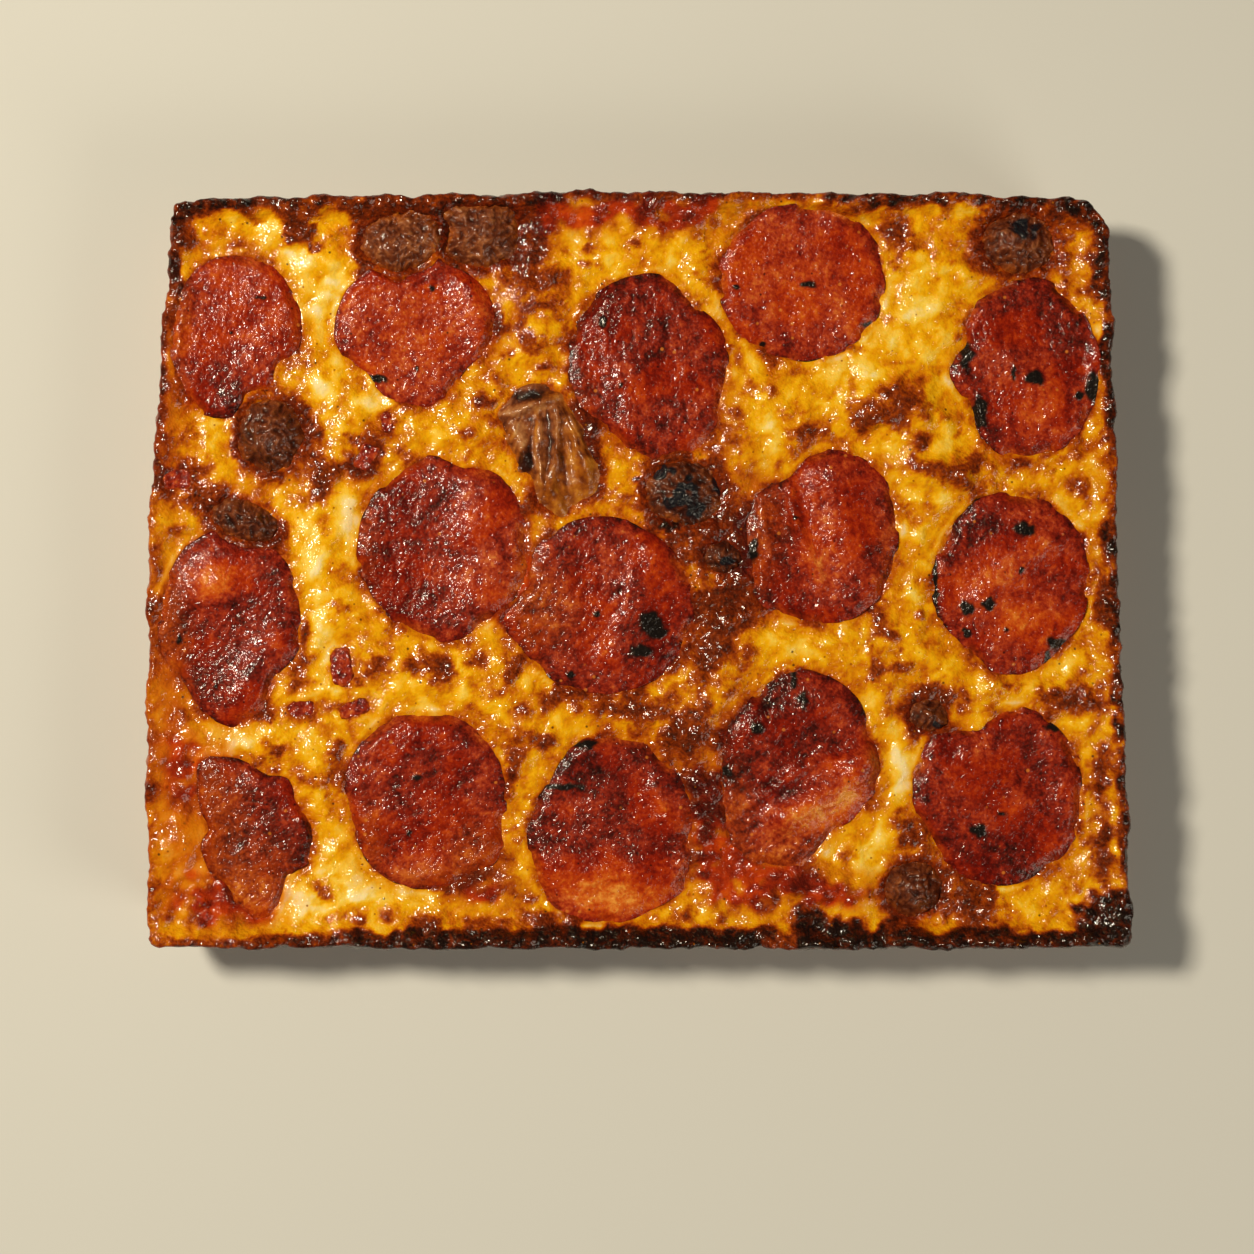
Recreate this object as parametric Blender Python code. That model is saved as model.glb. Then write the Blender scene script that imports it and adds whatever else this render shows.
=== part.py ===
"""A whole, uncut detroit-style pizza baked in an oblong pan.

The dough slab stands on its flat underside. A cap of cheese covers it, rises to a
browned rim and runs down the sides as a crisp skirt. Pepperoni slices, browned
sausage lumps, a mushroom slice and small scraps of meat lie on the cheese.

Units are metres. +X runs along the long side, +Y to the back, +Z up, and the origin
is the middle of the underside.
"""

import math

import bmesh
import bpy
import numpy as np
from mathutils import Vector
from mathutils.bvhtree import BVHTree

# The pan's inside, which the outer edge follows
LENGTH = 0.2560
WIDTH = 0.1970
PAN_LEAN = math.tan(math.radians(11.0))

# Corners of the outer edge from above: x, y and rounding
BACK_LEFT = (-0.1210, 0.0962, 0.0020)
BACK_RIGHT = (0.1218, 0.0968, 0.0110)
FRONT_RIGHT = (0.1274, -0.0974, 0.0030)
FRONT_LEFT = (-0.1272, -0.0975, 0.0030)

# How far each side bows out at its middle
BOW_LEFT = 0.0038
BOW_RIGHT = -0.0004
BOW_FRONT = 0.0004
BOW_BACK = 0.0018

# Crags of the baked sides: depth and spacing
COARSE_CRAG = (0.0008, 0.0130)
FINE_CRAG = (0.0004, 0.0055)

# Heights above the underside, and the rounded foot as shares of its height: inset, height
DOUGH_TOP = 0.0190
CHEESE_TOP = 0.0252
DOUGH_FOOT = 0.0028
FOOT_STEPS = ((0.7, 0.0), (0.15, 0.45), (0.0, 1.2))
LAYER_GAP = 0.0003

# The cheese skirt on the sides
SKIRT_WALL = 0.0017
SKIRT_LIP = 0.0105
LIP_WANDER = 0.0030
RIM_ROUND = 0.0011
SKIRT_LEVELS = (0.55, 0.06)

# The rim: how far it rises over the cheese at each side, how far it reaches in,
# and by which share of itself and at what spacing it wavers
RISE_LEFT = 0.0010
RISE_RIGHT = 0.0026
RISE_FRONT = 0.0034
RISE_BACK = 0.0030
RIM_REACH = 0.0075
RIM_FLAT = 0.0012
RIM_WAVER = (0.35, 0.0160)
CORNER_BLEND = 0.0040

# Soft waves of the melted cheese, and how it swells between the toppings
COARSE_WAVE = (0.0008, 0.0440)
FINE_WAVE = (0.0004, 0.0200)
SWELL = 0.0012
SWELL_REACH = 0.0080

# Clearances of the toppings from the edge and from one another
EDGE_MARGIN = 0.0024
SIDE_GAP = 0.0011
REST_GAP = 0.0003

SLICE_THICKNESS = 0.0019
SLICE_EDGE = 0.0004
SLICE_CURL = 0.0009
SLICE_WAVE = (0.0004, 0.0090)
SLICE_SIDES = 22
SLICE_RINGS = 8
LUMP_SIDES = 12
LUMP_RINGS = 6
MUSHROOM_SIDES = 22
MUSHROOM_RINGS = 8
SCRAP_SIDES = 10
SCRAP_RINGS = 4
WAIST = 0.45

# How unevenly each kind of topping is cut, as a share of its radius
LUMP_UNEVEN = 0.04
SLICE_UNEVEN = 0.012
MUSHROOM_UNEVEN = 0.05
SCRAP_UNEVEN = 0.06

GRID_LONG = 48
GRID_WIDE = 37
GRID_CROWDING = 1.05

# Pepperoni slices: centre, half sizes and turn, then dents as (direction, depth, spread)
# in degrees and metres
SLICES = [
    (-0.1052, 0.0620, 0.0176, 0.0206, 0, [(-38, -0.0045, 20), (-112, 0.0030, 22)]),
    (-0.0585, 0.0630, 0.0213, 0.0192, 0, [(-140, -0.0034, 16), (-84, 0.0012, 22), (-38, -0.0034, 20)]),
    (0.0022, 0.0536, 0.0214, 0.0242, 0, [(-128, -0.0030, 22), (-58, 0.0024, 24), (52, -0.0022, 18)]),
    (0.0423, 0.0752, 0.0221, 0.0204, 0, [(140, 0.0012, 24), (40, 0.0006, 25), (12, -0.0008, 10)]),
    (0.1005, 0.0530, 0.0193, 0.0240, 0, [(215, -0.0022, 20), (188, 0.0010, 12), (158, -0.0022, 10)]),
    (-0.0512, 0.0061, 0.0224, 0.0250, 0, [(78, -0.0032, 13), (-60, -0.0020, 22)]),
    (-0.0090, -0.0090, 0.0236, 0.0240, 0, [(-80, -0.0010, 25), (60, -0.0012, 25), (178, 0.0050, 24)]),
    (0.0476, 0.0090, 0.0202, 0.0228, 0, [(50, 0.0016, 22), (230, 0.0026, 22), (118, -0.0040, 15)]),
    (0.0966, -0.0032, 0.0209, 0.0243, 0, [(232, -0.0022, 20), (-50, -0.0016, 22)]),
    (-0.1066, -0.0144, 0.0190, 0.0262, 0, [(-48, -0.0040, 20), (-128, -0.0030, 24)]),
    (-0.0562, -0.0594, 0.0217, 0.0235, 0, [(-40, 0.0026, 20), (200, -0.0015, 22)]),
    (-0.0078, -0.0668, 0.0220, 0.0250, 0, [(140, -0.0028, 22), (-130, 0.0014, 22), (-40, 0.0024, 14)]),
    (0.0414, -0.0520, 0.0212, 0.0272, 0, [
        (-62, -0.0064, 26), (-30, -0.0014, 16), (228, 0.0026, 20), (120, -0.0020, 22)]),
    (0.0932, -0.0580, 0.0226, 0.0240, 0, [(107, -0.0062, 15), (215, -0.0010, 22)]),
    (-0.1000, -0.0680, 0.0152, 0.0216, 17, [
        (128, 0.0042, 11), (84, -0.0042, 18), (38, -0.0026, 16),
        (-52, -0.0056, 20), (-85, 0.0026, 10), (172, -0.0034, 16)]),
]

# Ridges and bulges of single slices: slice number, line from x, y to x, y, half width, rise
SLICE_FOLDS = [
    (2, -0.0440, 0.0735, -0.0400, 0.0600, 0.0040, 0.0016),
    (3, -0.0080, 0.0720, -0.0020, 0.0380, 0.0060, 0.0007),
    (6, -0.0400, 0.0250, -0.0400, -0.0120, 0.0080, 0.0010),
    (7, 0.0040, 0.0060, -0.0060, -0.0220, 0.0060, 0.0014),
    (8, 0.0500, 0.0250, 0.0580, -0.0060, 0.0060, 0.0018),
    (9, 0.0960, 0.0120, 0.0980, -0.0180, 0.0100, 0.0008),
    (10, -0.1105, -0.0020, -0.1105, -0.0020, 0.0070, 0.0020),
    (10, -0.0950, -0.0180, -0.1040, -0.0330, 0.0050, 0.0014),
    (11, -0.0700, -0.0440, -0.0450, -0.0440, 0.0080, 0.0010),
    (12, -0.0260, -0.0500, -0.0150, -0.0440, 0.0045, 0.0016),
    (12, -0.0260, -0.0763, 0.0130, -0.0800, 0.0050, 0.0012),
    (13, 0.0380, -0.0640, 0.0600, -0.0500, 0.0050, 0.0028),
    (13, 0.0300, -0.0420, 0.0480, -0.0330, 0.0050, 0.0012),
    (14, 0.1080, -0.0440, 0.1120, -0.0620, 0.0040, 0.0010),
    (15, -0.1080, -0.0600, -0.1000, -0.0560, 0.0050, 0.0010),
]

# Browned sausage lumps: centre, half sizes, turn and height
LUMPS = [
    (-0.0622, 0.0858, 0.0120, 0.0084, 12, 0.0055),
    (-0.0418, 0.0880, 0.0116, 0.0102, 0, 0.0062),
    (0.0985, 0.0852, 0.0106, 0.0086, 0, 0.0058),
    (-0.0962, 0.0355, 0.0096, 0.0108, 0, 0.0060),
    (-0.1025, 0.0133, 0.0104, 0.0060, -20, 0.0045),
    (0.0114, 0.0205, 0.0114, 0.0092, -8, 0.0050),
    (0.0213, 0.0040, 0.0056, 0.0048, 0, 0.0038),
    (0.0712, -0.0823, 0.0086, 0.0081, 0, 0.0060),
    (0.0752, -0.0374, 0.0060, 0.0050, 0, 0.0042),
]
LUMP_CRAG = (0.0009, 0.0080)
LUMP_EDGE = 0.0006

# The mushroom slice: centre, half sizes, turn and thickness, with its dents and ridges
MUSHROOM = (-0.0235, 0.0310, 0.0115, 0.0180, 20, 0.0020)
MUSHROOM_DENTS = [
    (112, 0.0014, 14), (80, 0.0012, 12), (16, -0.0014, 16), (-32, 0.0022, 18), (-79, 0.0010, 12),
    (-128, -0.0040, 24), (-170, -0.0014, 14), (143, 0.0016, 9),
]
MUSHROOM_FOLDS = [
    (-0.0368, 0.0404, -0.0192, 0.0464, 0.0020, 0.0020),
    (-0.0325, 0.0370, -0.0300, 0.0300, 0.0024, 0.0010),
    (-0.0215, 0.0420, -0.0215, 0.0300, 0.0022, 0.0014),
    (-0.0232, 0.0220, -0.0200, 0.0130, 0.0022, 0.0012),
    (-0.0180, 0.0400, -0.0140, 0.0270, 0.0026, 0.0012),
]

# Small scraps of meat: centre, half sizes and turn
SCRAPS = [
    (-0.0778, -0.0252, 0.0030, 0.0052, 3),
    (-0.0884, -0.0358, 0.0042, 0.0023, 6),
    (-0.0742, -0.0356, 0.0043, 0.0023, 21),
    (-0.0712, 0.0300, 0.0028, 0.0046, -28),
    (-0.0660, 0.0388, 0.0016, 0.0031, 10),
    (-0.1205, 0.0240, 0.0040, 0.0028, 8),
]
SCRAP_THICKNESS = 0.0020
SCRAP_EDGE = 0.0003
SQUARENESS = 4.0

# Swells of the cheese itself, such as blisters and browned crumbs under it:
# line from x, y to x, y, half width and rise
CHEESE_SWELLS = [
    (0.0620, 0.0430, 0.0730, 0.0410, 0.0060, 0.0020),
    (0.0730, 0.0270, 0.0830, 0.0250, 0.0045, 0.0017),
    (-0.0884, 0.0883, -0.0884, 0.0883, 0.0042, 0.0012),
    (0.0923, -0.0290, 0.0923, -0.0290, 0.0030, 0.0016),
    (-0.1183, -0.0711, -0.1183, -0.0711, 0.0060, 0.0016),
    (-0.0250, 0.0730, -0.0250, 0.0600, 0.0060, 0.0010),
    (0.0190, -0.0170, 0.0210, -0.0350, 0.0070, 0.0010),
    (-0.0200, 0.0905, 0.0150, 0.0905, 0.0050, 0.0008),
    (0.0420, -0.0830, 0.0580, -0.0840, 0.0050, 0.0010),
    (0.1215, -0.0920, 0.1215, -0.0920, 0.0060, 0.0028),
    (-0.0855, -0.0835, -0.0855, -0.0835, 0.0030, 0.0010),
    (0.0230, -0.0600, 0.0160, -0.0720, 0.0040, 0.0008),
    (-0.0524, 0.0925, -0.0520, 0.0830, 0.0036, 0.0024),
    (-0.0160, 0.0400, -0.0120, 0.0270, 0.0030, 0.0010),
]

DIRECTIONS = 72
RAY_STEPS = 90
NOISE_CELLS = 64

# Seeds of the random relief, so that every build comes out the same
SIDE_SEEDS = (11, 13, 15, 17)
RIM_SEED = 31
WAVE_SEEDS = (33, 35)
LIP_SEED = 41
LUMP_SEED = 200
SLICE_SEED = 300
MUSHROOM_SEED = 401
SCRAP_SEED = 500
CURL_SEED = 600
SLICE_WAVE_SEED = 620
LUMP_CRAG_SEED = 700


def mix(start, end, share):
    return start + (end - start) * share


def smooth(value, low, high):
    """Rise softly from 0 at low to 1 at high."""
    share = np.clip((value - low) / (high - low), 0.0, 1.0)
    return share * share * (3.0 - 2.0 * share)


def ripple(x, y, spacing, seed):
    """Smooth random relief between about -1 and 1, with bumps the given spacing apart."""
    turns = np.random.default_rng(seed).uniform(0.0, 2.0 * np.pi, (NOISE_CELLS, NOISE_CELLS))
    across = np.asarray(x) / spacing + 0.37
    along = np.asarray(y) / spacing + 0.61
    column = np.floor(across).astype(int)
    row = np.floor(along).astype(int)
    right = across - column
    up = along - row

    def pull(step_x, step_y):
        turn = turns[(column + step_x) % NOISE_CELLS, (row + step_y) % NOISE_CELLS]
        return np.cos(turn) * (right - step_x) + np.sin(turn) * (up - step_y)

    ease_x = right**3 * (right * (right * 6.0 - 15.0) + 10.0)
    ease_y = up**3 * (up * (up * 6.0 - 15.0) + 10.0)
    low = mix(pull(0, 0), pull(1, 0), ease_x)
    high = mix(pull(0, 1), pull(1, 1), ease_x)
    return 1.5 * mix(low, high, ease_y)


def crags(along, height, seed):
    """Unevenness of a baked side."""
    coarse = COARSE_CRAG[0] * ripple(along, height, COARSE_CRAG[1], seed)
    return coarse + FINE_CRAG[0] * ripple(along, height, FINE_CRAG[1], seed + 1)


def side_line(along, first, last, axis, bow, height, seed, rough):
    """Where one side stands: a line from corner to corner that bows out, with crags."""
    other = 1 - axis
    share = np.clip((along - first[other]) / (last[other] - first[other]), 0.0, 1.0)
    straight = mix(first[axis], last[axis], share)
    return straight + bow * 4.0 * share * (1.0 - share) + rough * crags(along, height, seed)


def sides(x, y, height, rough=1.0):
    """The left, right, front and back sides level with a point."""
    left = side_line(y, FRONT_LEFT, BACK_LEFT, 0, -BOW_LEFT, height, SIDE_SEEDS[0], rough)
    right = side_line(y, FRONT_RIGHT, BACK_RIGHT, 0, BOW_RIGHT, height, SIDE_SEEDS[1], rough)
    front = side_line(x, FRONT_LEFT, FRONT_RIGHT, 1, -BOW_FRONT, height, SIDE_SEEDS[2], rough)
    back = side_line(x, BACK_LEFT, BACK_RIGHT, 1, BOW_BACK, height, SIDE_SEEDS[3], rough)
    return left, right, front, back


def round_corner(x, y, side_x, side_y, inward, radius):
    """Bend a square corner onto an arc, keeping each point's depth from the edge."""
    deep_x = (x - side_x) * inward[0]
    deep_y = (y - side_y) * inward[1]
    depth = np.minimum(deep_x, deep_y)
    reach = np.maximum(deep_x, deep_y)
    room = np.maximum(radius - depth, 1e-6)
    angle = math.pi / 4.0 * (1.0 - (reach - depth) / room)
    near = radius - room * np.cos(angle)
    far = radius - room * np.sin(angle)
    inside = reach < radius
    new_x = np.where(inside, np.where(deep_x < deep_y, near, far), deep_x)
    new_y = np.where(inside, np.where(deep_x < deep_y, far, near), deep_y)
    return side_x + new_x * inward[0], side_y + new_y * inward[1]


def place(u, v, inset, height, rough=1.0):
    """Carry a point of the square from -1 to 1 into plan, its border inset from the edge."""
    x = u * LENGTH / 2.0
    y = v * WIDTH / 2.0
    for _ in range(3):
        left, right, front, back = sides(x, y, height, rough)
        x = mix(left + inset, right - inset, (u + 1.0) / 2.0)
        y = mix(front + inset, back - inset, (v + 1.0) / 2.0)
    x, y = round_corner(x, y, left, back, (1, -1), BACK_LEFT[2])
    x, y = round_corner(x, y, right, back, (-1, -1), BACK_RIGHT[2])
    x, y = round_corner(x, y, right, front, (-1, 1), FRONT_RIGHT[2])
    return round_corner(x, y, left, front, (1, 1), FRONT_LEFT[2])


def edge_depth(x, y):
    """How far inside the outer edge a point lies, and the four sides' share of its rim."""
    left, right, front, back = sides(x, y, CHEESE_TOP)
    gaps = np.stack([x - left, right - x, y - front, back - y])
    depth = gaps.min(axis=0)
    radius = BACK_RIGHT[2]
    beside, behind = gaps[1], gaps[3]
    in_corner = (beside < radius) & (behind < radius)
    from_centre = np.hypot(radius - beside, radius - behind)
    depth = np.where(in_corner, radius - from_centre, depth)
    weights = np.exp(-gaps / CORNER_BLEND)
    return depth, weights / weights.sum(axis=0)


def ridge(x, y, line, half_width, rise):
    """A rounded ridge over a line, or a bulge where both ends are one point."""
    x0, y0, x1, y1 = line
    run = max((x1 - x0) ** 2 + (y1 - y0) ** 2, 1e-12)
    share = np.clip(((x - x0) * (x1 - x0) + (y - y0) * (y1 - y0)) / run, 0.0, 1.0)
    away = np.hypot(x - mix(x0, x1, share), y - mix(y0, y1, share))
    return rise * np.exp(-((away / half_width) ** 2))


class Topping:
    """A piece that lies on the cheese, with its outline as a radius in each direction."""

    def __init__(self, name, x, y, half_x, half_y, turn, unevenness, seed, dents=(), square=2.0):
        self.name = name
        self.x = x
        self.y = y
        self.angles = np.arange(DIRECTIONS) * 2.0 * np.pi / DIRECTIONS
        across = np.abs(np.cos(self.angles - math.radians(turn))) / half_x
        along = np.abs(np.sin(self.angles - math.radians(turn))) / half_y
        self.radii = (across**square + along**square) ** (-1.0 / square)
        waver = ripple(np.cos(self.angles), np.sin(self.angles), 0.7, seed)
        self.radii *= 1.0 + unevenness * 2.0 * waver
        for direction, depth, spread in dents:
            off = np.degrees(self.angles) - direction
            off = (off + 180.0) % 360.0 - 180.0
            self.radii += depth * np.exp(-((off / spread) ** 2))

    def radius(self, angle):
        return np.interp(np.mod(angle, 2.0 * np.pi), self.angles, self.radii, period=2.0 * np.pi)

    def outside(self, x, y):
        """How far a point lies outside the outline, along the line from the centre."""
        angle = np.arctan2(y - self.y, x - self.x)
        return np.hypot(x - self.x, y - self.y) - self.radius(angle)

    def trim(self, earlier):
        """Pull the outline back from the outer edge and from pieces laid before."""
        for index, angle in enumerate(self.angles):
            steps = np.linspace(0.0, 1.0, RAY_STEPS) * self.radii[index]
            x = self.x + steps * math.cos(angle)
            y = self.y + steps * math.sin(angle)
            blocked = edge_depth(x, y)[0] < EDGE_MARGIN
            for other in earlier:
                blocked |= other.outside(x, y) < SIDE_GAP
            if blocked.any():
                self.radii[index] = steps[max(int(np.argmax(blocked)) - 1, 0)]


def lay_out():
    """All toppings in the order in which they keep their outlines."""
    lumps = [
        Topping(f"sausage_lump_{n}", x, y, a, b, turn, LUMP_UNEVEN, LUMP_SEED + n)
        for n, (x, y, a, b, turn, _) in enumerate(LUMPS, 1)
    ]
    slices = [
        Topping(f"pepperoni_{n:02d}", x, y, a, b, turn, SLICE_UNEVEN, SLICE_SEED + n, dents)
        for n, (x, y, a, b, turn, dents) in enumerate(SLICES, 1)
    ]
    mushroom = Topping(
        "mushroom_slice", *MUSHROOM[:5], MUSHROOM_UNEVEN, MUSHROOM_SEED, MUSHROOM_DENTS
    )
    scraps = [
        Topping(f"meat_scrap_{n}", x, y, a, b, turn, SCRAP_UNEVEN, SCRAP_SEED + n, square=SQUARENESS)
        for n, (x, y, a, b, turn) in enumerate(SCRAPS, 1)
    ]
    laid = []
    for piece in lumps + slices + [mushroom] + scraps:
        piece.trim(laid)
        laid.append(piece)
    return lumps, slices, mushroom, scraps


def surface(x, y, toppings):
    """Height of the cheese at a point in plan."""
    depth, shares = edge_depth(x, y)
    rises = np.tensordot(np.array([RISE_LEFT, RISE_RIGHT, RISE_FRONT, RISE_BACK]), shares, 1)
    rim = rises * (1.0 + RIM_WAVER[0] * ripple(x, y, RIM_WAVER[1], RIM_SEED))
    height = CHEESE_TOP + rim * (1.0 - smooth(depth, RIM_FLAT, RIM_REACH))
    height += COARSE_WAVE[0] * ripple(x, y, COARSE_WAVE[1], WAVE_SEEDS[0])
    height += FINE_WAVE[0] * ripple(x, y, FINE_WAVE[1], WAVE_SEEDS[1])
    nearest = np.min([piece.outside(x, y) for piece in toppings], axis=0)
    height += SWELL * smooth(nearest, 0.0, SWELL_REACH)
    for *line, half_width, rise in CHEESE_SWELLS:
        height += ridge(x, y, line, half_width, rise)
    return height


def material(name, colour, roughness):
    made = bpy.data.materials.new(name)
    made.use_nodes = True
    shader = made.node_tree.nodes["Principled BSDF"]
    linear = [c / 12.92 if c <= 0.04045 else ((c + 0.055) / 1.055) ** 2.4 for c in colour]
    shader.inputs["Base Color"].default_value = (*linear, 1.0)
    shader.inputs["Roughness"].default_value = roughness
    shader.inputs["Metallic"].default_value = 0.0
    return made


def finish(name, mesh_data, look):
    """Turn a bmesh into a named, smooth-shaded object with one material."""
    bmesh.ops.recalc_face_normals(mesh_data, faces=mesh_data.faces[:])
    mesh = bpy.data.meshes.new(name)
    mesh_data.to_mesh(mesh)
    mesh_data.free()
    mesh.materials.append(look)
    mesh.shade_smooth()
    thing = bpy.data.objects.new(name, mesh)
    bpy.context.scene.collection.objects.link(thing)
    return thing


def move_to(verts, squares, inset, heights, rough=1.0):
    """Set vertices by their place in the square, their inset and their height."""
    u = np.array([squares[vert][0] for vert in verts])
    v = np.array([squares[vert][1] for vert in verts])
    insets = np.broadcast_to(inset, u.shape)
    levels = np.broadcast_to(heights, u.shape)
    x, y = place(u, v, insets, levels, rough)
    for vert, px, py, pz in zip(verts, x, y, levels):
        vert.co = (px, py, pz)


def extrude_border(mesh_data, edges, squares):
    """Extrude an open border, each new vertex keeping its place in the square."""
    found = bmesh.ops.extrude_edge_only(mesh_data, edges=edges)
    new_verts = [item for item in found["geom"] if isinstance(item, bmesh.types.BMVert)]
    new_edges = [item for item in found["geom"] if isinstance(item, bmesh.types.BMEdge)]
    new_edges = [edge for edge in new_edges if edge.is_boundary]
    by_place = {}
    for edge in edges:
        for vert in edge.verts:
            by_place[vert.co.to_tuple(7)] = squares[vert]
    for vert in new_verts:
        squares[vert] = by_place[vert.co.to_tuple(7)]
    return new_verts, new_edges


def lip_height(verts, squares):
    """The wavy lower lip of the skirt, by the direction from the middle."""
    turn = np.array([math.atan2(squares[vert][1], squares[vert][0]) for vert in verts])
    waver = ripple(9.0 * np.cos(turn), 9.0 * np.sin(turn), 1.3, LIP_SEED)
    return SKIRT_LIP + LIP_WANDER * waver


def lean(height):
    """How far a side has drawn in at a height, as the pan's wall leans."""
    return np.maximum(CHEESE_TOP - height, 0.0) * PAN_LEAN


def next_ring(mesh_data, border, squares, inset, level_of, rough=1.0):
    """Extrude the border and set the new ring's height, leaning inward as the pan does."""
    ring, border = extrude_border(mesh_data, border, squares)
    levels = level_of(ring)
    move_to(ring, squares, lean(levels) + inset, levels, rough)
    return border


def crowd(share):
    """Crowd even steps from -1 to 1 towards both ends."""
    return math.sin(share * GRID_CROWDING) / math.sin(GRID_CROWDING)


def build_cheese(toppings, look):
    cap = bmesh.new()
    bmesh.ops.create_grid(cap, x_segments=GRID_LONG, y_segments=GRID_WIDE, size=1.0)
    squares = {vert: (crowd(vert.co.x), crowd(vert.co.y)) for vert in cap.verts}
    verts = cap.verts[:]
    u = np.array([squares[vert][0] for vert in verts])
    v = np.array([squares[vert][1] for vert in verts])
    x, y = place(u, v, RIM_ROUND, CHEESE_TOP)
    for vert, px, py, pz in zip(verts, x, y, surface(x, y, toppings)):
        vert.co = (px, py, pz)
    border = [edge for edge in cap.edges if edge.is_boundary]

    crest = {squares[vert]: vert.co.z for edge in border for vert in edge.verts}

    def shoulder(verts):
        return np.array([crest[squares[vert]] - RIM_ROUND for vert in verts])

    def part_way(share):
        return lambda verts: mix(lip_height(verts, squares), CHEESE_TOP - RIM_ROUND, share)

    def bed(verts):
        return np.full(len(verts), DOUGH_TOP + LAYER_GAP)

    border = next_ring(cap, border, squares, 0.0, shoulder)
    for share in SKIRT_LEVELS:
        border = next_ring(cap, border, squares, 0.0, part_way(share))
    border = next_ring(cap, border, squares, SKIRT_WALL, part_way(0.0), rough=0.0)
    border = next_ring(cap, border, squares, SKIRT_WALL, bed, rough=0.0)
    bmesh.ops.contextual_create(cap, geom=border)
    return finish("cheese", cap, look)


def walk_square():
    """Stations once round the square, as crowded towards its corners as the grid."""
    long_steps = [crowd(2.0 * step / GRID_LONG - 1.0) for step in range(GRID_LONG)]
    wide_steps = [crowd(2.0 * step / GRID_WIDE - 1.0) for step in range(GRID_WIDE)]
    front = [(along, -1.0) for along in long_steps]
    right = [(1.0, along) for along in wide_steps]
    back = [(-along, 1.0) for along in long_steps]
    left = [(-1.0, -along) for along in wide_steps]
    return front + right + back + left


def build_dough(look):
    slab = bmesh.new()
    stations = walk_square()
    made = bmesh.ops.create_circle(slab, cap_ends=True, radius=1.0, segments=len(stations))
    ring = sorted(made["verts"], key=lambda vert: math.atan2(vert.co.y, vert.co.x) % (2.0 * math.pi))
    squares = dict(zip(ring, stations))
    foot = [(DOUGH_FOOT * inset, DOUGH_FOOT * height) for inset, height in FOOT_STEPS]
    move_to(ring, squares, lean(foot[0][1]) + foot[0][0], foot[0][1])
    border = slab.edges[:]

    def level(height):
        return lambda verts: np.full(len(verts), height)

    def under_lip(verts):
        return lip_height(verts, squares) - LAYER_GAP * 2.0

    behind_skirt = SKIRT_WALL + LAYER_GAP
    for inset, height in foot[1:]:
        border = next_ring(slab, border, squares, inset, level(height))
    border = next_ring(slab, border, squares, 0.0, under_lip)
    border = next_ring(slab, border, squares, behind_skirt, under_lip, rough=0.0)
    border = next_ring(slab, border, squares, behind_skirt, level(DOUGH_TOP), rough=0.0)
    bmesh.ops.contextual_create(slab, geom=border)
    return finish("crust", slab, look)


def flattened_ball(piece, toppings, sides_round, rings, top_of):
    """A ball pressed onto the cheese inside a piece's outline."""
    ball = bmesh.new()
    bmesh.ops.create_uvsphere(ball, u_segments=sides_round, v_segments=rings, radius=1.0)
    verts = ball.verts[:]
    unit = np.array([vert.co[:] for vert in verts])
    share = np.minimum(np.hypot(unit[:, 0], unit[:, 1]), 1.0)
    angle = np.arctan2(unit[:, 1], unit[:, 0])
    reach = share * piece.radius(angle)
    x = piece.x + reach * np.cos(angle)
    y = piece.y + reach * np.sin(angle)
    floor = surface(x, y, toppings) + REST_GAP
    top = floor + top_of(x, y, share, angle)
    waist = mix(floor, top, WAIST)
    level = np.where(unit[:, 2] > 1e-4, top, np.where(unit[:, 2] < -1e-4, floor, waist))
    for vert, px, py, pz in zip(verts, x, y, level):
        vert.co = (px, py, pz)
    return ball


def rest_on(piece_mesh, piece, cheese_tree):
    """Raise a piece until its whole underside clears the cheese."""
    piece_tree = BVHTree.FromBMesh(piece_mesh)
    low = float("inf")
    for share in np.linspace(0.04, 0.995, 26):
        for angle in np.linspace(0.0, 2.0 * np.pi, 72, endpoint=False):
            radius = share * piece.radius(angle)
            x = piece.x + radius * math.cos(angle)
            y = piece.y + radius * math.sin(angle)
            under = piece_tree.ray_cast(Vector((x, y, 0.0)), Vector((0.0, 0.0, 1.0)))[0]
            over = cheese_tree.ray_cast(Vector((x, y, 1.0)), Vector((0.0, 0.0, -1.0)))[0]
            if under is not None and over is not None:
                low = min(low, under.z - over.z)
    bmesh.ops.translate(piece_mesh, vec=(0.0, 0.0, REST_GAP - low), verts=piece_mesh.verts[:])


def slice_top(number):
    """The upper face of a slice: even thickness, a curled border and its own folds."""
    folds = [(line, half, rise) for n, *line, half, rise in SLICE_FOLDS if n == number]

    def height(x, y, share, angle):
        curl = 0.5 + 0.5 * ripple(np.cos(angle), np.sin(angle), 0.9, CURL_SEED + number)
        wave = ripple(x, y, SLICE_WAVE[1], SLICE_WAVE_SEED + number)
        rise = SLICE_THICKNESS * np.sqrt(np.maximum(1.0 - share**6, 0.0)) + SLICE_EDGE
        rise += SLICE_CURL * share**4 * curl
        rise += SLICE_WAVE[0] * wave * (1.0 - share**4)
        for line, half_width, high in folds:
            rise += ridge(x, y, line, half_width, high) * (1.0 - share**8)
        return rise

    return height


def lump_top(number, high):
    """The upper face of a lump: a dome with crags."""

    def height(x, y, share, angle):
        dome = high * np.maximum(1.0 - share**2.4, 0.0) ** 0.8
        rough = LUMP_CRAG[0] * ripple(x, y, LUMP_CRAG[1], LUMP_CRAG_SEED + number)
        return dome + rough * (1.0 - share**3) + LUMP_EDGE

    return height


def mushroom_top(x, y, share, angle):
    rise = MUSHROOM[5] * np.sqrt(np.maximum(1.0 - share**5, 0.0)) + SLICE_EDGE
    for *line, half_width, high in MUSHROOM_FOLDS:
        rise += ridge(x, y, line, half_width, high) * (1.0 - share**8)
    return rise


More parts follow.
